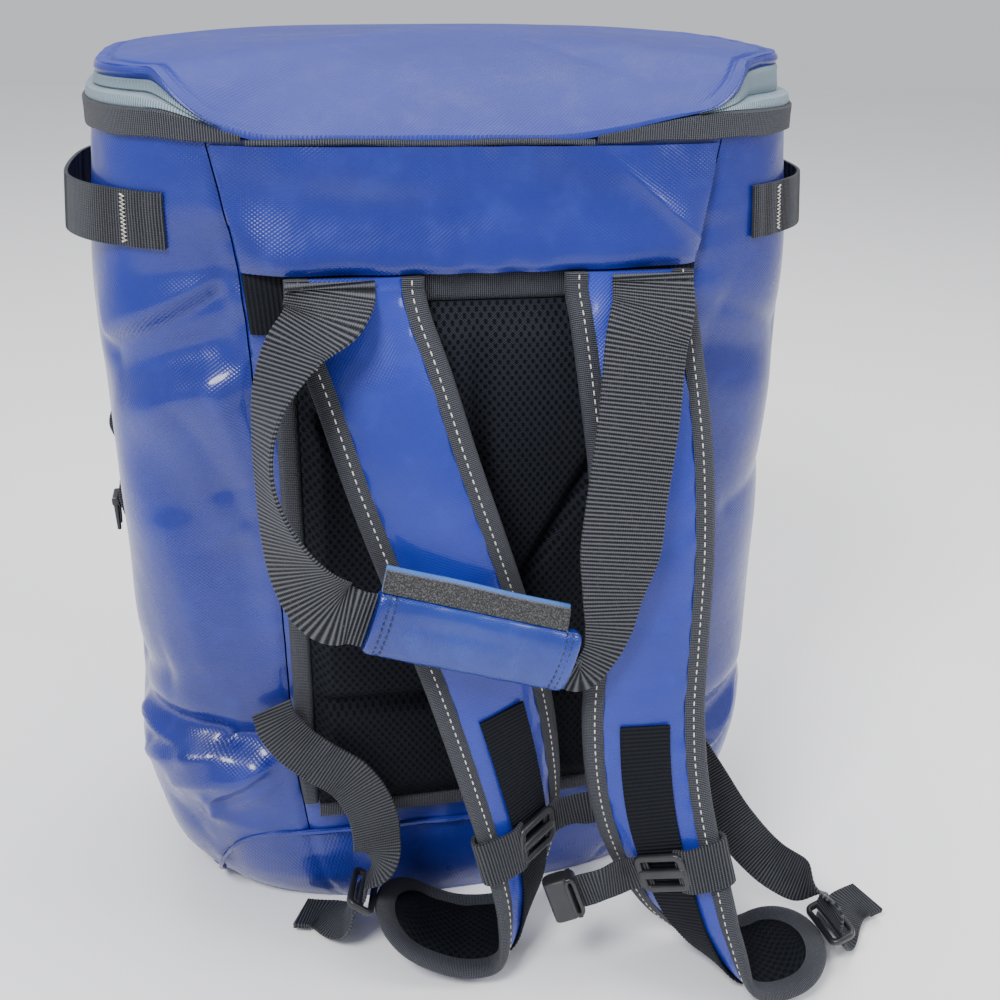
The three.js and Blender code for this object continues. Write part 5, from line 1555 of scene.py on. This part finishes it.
def grab_loop(side):
    sign = HAND[side]
    turn = np.linspace(GRAB_START, GRAB_END, 561)[:, None]
    off = np.maximum(lookup(GRAB_ROWS, "around", turn, "lift"), 0) * GRAB_LIFT
    level = GRAB_MIDDLE + np.linspace(-WEB_WIDTH / 2, WEB_WIDTH / 2, 9)[None, :]
    ribs = 0.12 * np.sin(2 * math.pi * turn * HALF_GIRTH / RIB)
    sag = -0.6 * np.sin(math.pi * (turn - GRAB_START) / (GRAB_END - GRAB_START)) * off / GRAB_LIFT
    around = sign * turn + 0 * level
    front = skin(around, level + sag, SEAT + off + WEB_THICK + ribs)
    back = skin(around, level + sag, SEAT + off - ribs)
    dress(plate(f"grab_web_{side}", front, back, WEB), f"grab_loop_{side}")

    def place(at, across):
        return skin(sign * at, GRAB_MIDDLE + 10.5 * across, 2 * SEAT + WEB_THICK)

    for at, label in ((0.268, "near"), (0.668, "far")):
        bar_tack(f"grab_tack_{label}_{side}", at, 0.0022, 25, place, 0.45)


def daisy_point(sign, down, along, lift):
    height = DAISY_TOP - down * DAISY_LENGTH
    return skin(sign * (DAISY_TURN + along / HALF_GIRTH), height, lift)


def daisy(side):
    sign = HAND[side]
    down = np.linspace(0, 1, 321)[:, None]
    off = np.maximum(lookup(DAISY_ROWS, "down", down, "lift"), 0) * DAISY_LIFT
    along = np.linspace(-10, 10, 9)[None, :]
    ribs = 0.1 * np.sin(2 * math.pi * down * DAISY_LENGTH / RIB)
    down = down + 0 * along
    front = daisy_point(sign, down, along, DAISY_SEAT + off + WEB_THICK + ribs)
    back = daisy_point(sign, down, along, DAISY_SEAT + off)
    dress(plate(f"daisy_web_{side}", front, back, WEB), f"daisy_strip_{side}")

    def place(at, across):
        return daisy_point(sign, at, 8 * across, 2 * DAISY_SEAT + WEB_THICK)

    for at, label in ((0.08, "top"), (0.42, "middle"), (0.9, "foot")):
        bar_tack(f"daisy_tack_{label}_{side}", at, 0.008, 21, place, 0.4)
    clip(side, sign)


def clip(side, sign):
    """Small two-pronged clip that hangs on the larger loop of the daisy strip."""
    lift = 1.1 * DAISY_LIFT + WEB_THICK + 2.4
    start = daisy_point(sign, 0.6, 0, lift)
    along = unit(daisy_point(sign, 0.6 + 22 / DAISY_LENGTH, 0, lift) - start)
    out = np.array([sign, 0, 0.0])
    out = unit(out - along * (out @ along))
    frame = {"point": start, "along": along, "out": out, "across": np.cross(out, along)}
    head = bar(frame, 14, 5, 4, 0, 3, 0)
    prongs = [bar(frame, 16, 3.2, 3.2, 4.4 * k, 12.5, 0, taper=0.35, turned=True) for k in (-1, 1)]
    join(f"clip_{side}", [head, *prongs], f"daisy_clip_{side}")


def zip_pull():
    point = outline(1, float(BODY_HEIGHT))[0]
    level = float(zip_middle(np.array([1.0]))[0])
    down = np.array([0, 0, -1.0])
    out = np.array([0, 1.0, 0])
    across = np.cross(down, out)

    def hung(y, drop):
        place = np.array([point[0], point[1] + y, level - drop])
        return {"point": place, "along": down, "out": out, "across": across}

    body = bar(hung(2.8, 0), 10, 7.6, 4.8, 0, 0, 0)
    bridge = bar(hung(5.0, 1), 3.2, 5, 1.2, 0, 0, 0, turned=True)
    join("zip_runner", [body, bridge], "zip_slider")
    tab = rail_loop(hung(6.85, 15), 9, 34, 2.4, 2.3, 0)
    grips = [bar(hung(6.85, 15), 6, 2.2, 1.9, 0, k, 0) for k in (-8, -3, 2, 7, 12)]
    join("zip_tab", [tab, *grips], "zip_puller")


# Stage

LIGHTS = (
    # name, place and aim in metres, size, power
    ("key_light", (-0.75, -1.05, 1.6), (0, 0, 0.32), 0.5, 34),
    ("top_light", (0.1, 0.5, 2.2), (0, 0, 0.4), 1.6, 34),
    ("side_light", (1.3, -0.7, 1.3), (0, 0, 0.3), 0.6, 14),
)
WORLD_COLOUR = (0.94, 0.95, 1.0, 1)
WORLD_STRENGTH = 0.72
FLOOR_HALF = 4
CAMERA_YAW = 0.241
CAMERA_PITCH = 0.421
CAMERA_ROLL = 0.032
CAMERA_PLACE = (-0.1, -0.67, 0.51)
SENSOR = 36
# Focal length in widths of the frame
FOCAL_SHARE = 1.265
CAMERA_SHIFT = -0.05


def stage():
    mesh = bpy.data.meshes.new("floor")
    corners = [(x * FLOOR_HALF, y * FLOOR_HALF, 0) for x, y in ((-1, -1), (1, -1), (1, 1), (-1, 1))]
    mesh.from_pydata(corners, [], [(0, 1, 2, 3)])
    floor = bpy.data.objects.new("floor", mesh)
    pale = Shade("pale_floor", (0.93, 0.93, 0.94), 0.7)
    grain = pale.noise(4, 2)
    pale.colour(pale.mix(grain, (0.92, 0.92, 0.93), (0.95, 0.95, 0.955)))
    mesh.materials.append(pale.material)
    bpy.context.collection.objects.link(floor)
    world = bpy.data.worlds.new("studio")
    world.use_nodes = True
    background = world.node_tree.nodes["Background"]
    background.inputs[0].default_value = WORLD_COLOUR
    background.inputs[1].default_value = WORLD_STRENGTH
    bpy.context.scene.world = world
    for name, place, aim, size, power in LIGHTS:
        data = bpy.data.lights.new(name, "AREA")
        data.shape = "SQUARE"
        data.size = size
        data.energy = power
        light = bpy.data.objects.new(name, data)
        light.location = place
        aim_from = Vector(place) - Vector(aim)
        light.rotation_euler = aim_from.to_track_quat("Z", "Y").to_euler()
        bpy.context.collection.objects.link(light)


def camera():
    yaw, pitch, roll = CAMERA_YAW, CAMERA_PITCH, CAMERA_ROLL
    forward = Vector((math.sin(yaw) * math.cos(pitch), math.cos(yaw) * math.cos(pitch), -math.sin(pitch)))
    right = Vector((math.cos(yaw), -math.sin(yaw), 0))
    up = right.cross(forward)
    right_turned = math.cos(roll) * right + math.sin(roll) * up
    up_turned = -math.sin(roll) * right + math.cos(roll) * up
    data = bpy.data.cameras.new("camera")
    data.sensor_width = SENSOR
    data.lens = SENSOR * FOCAL_SHARE
    data.shift_x = CAMERA_SHIFT
    view = bpy.data.objects.new("camera", data)
    turn = Matrix((right_turned, up_turned, -forward)).transposed()
    view.matrix_world = Matrix.Translation(CAMERA_PLACE) @ turn.to_4x4()
    bpy.context.collection.objects.link(view)
    bpy.context.scene.camera = view


camera()
stage()
wall_panel("side_panel", "side_wall", side_turn, 361, 185)
wall_panel("back_panel", "back_wall", back_turn, 81, 149)
box_base()
rim_pieces()
lid()
yoke()
back_bindings()
back_pad()
for hand in ("left", "right"):
    strap_pieces(hand)
    slider(hand)
    slider_wrap(hand)
    sternum(hand)
    adjuster(hand)
    lower_pieces(hand)
    handle_strand(hand)
    grab_loop(hand)
    daisy(hand)
grip()
zip_pull()
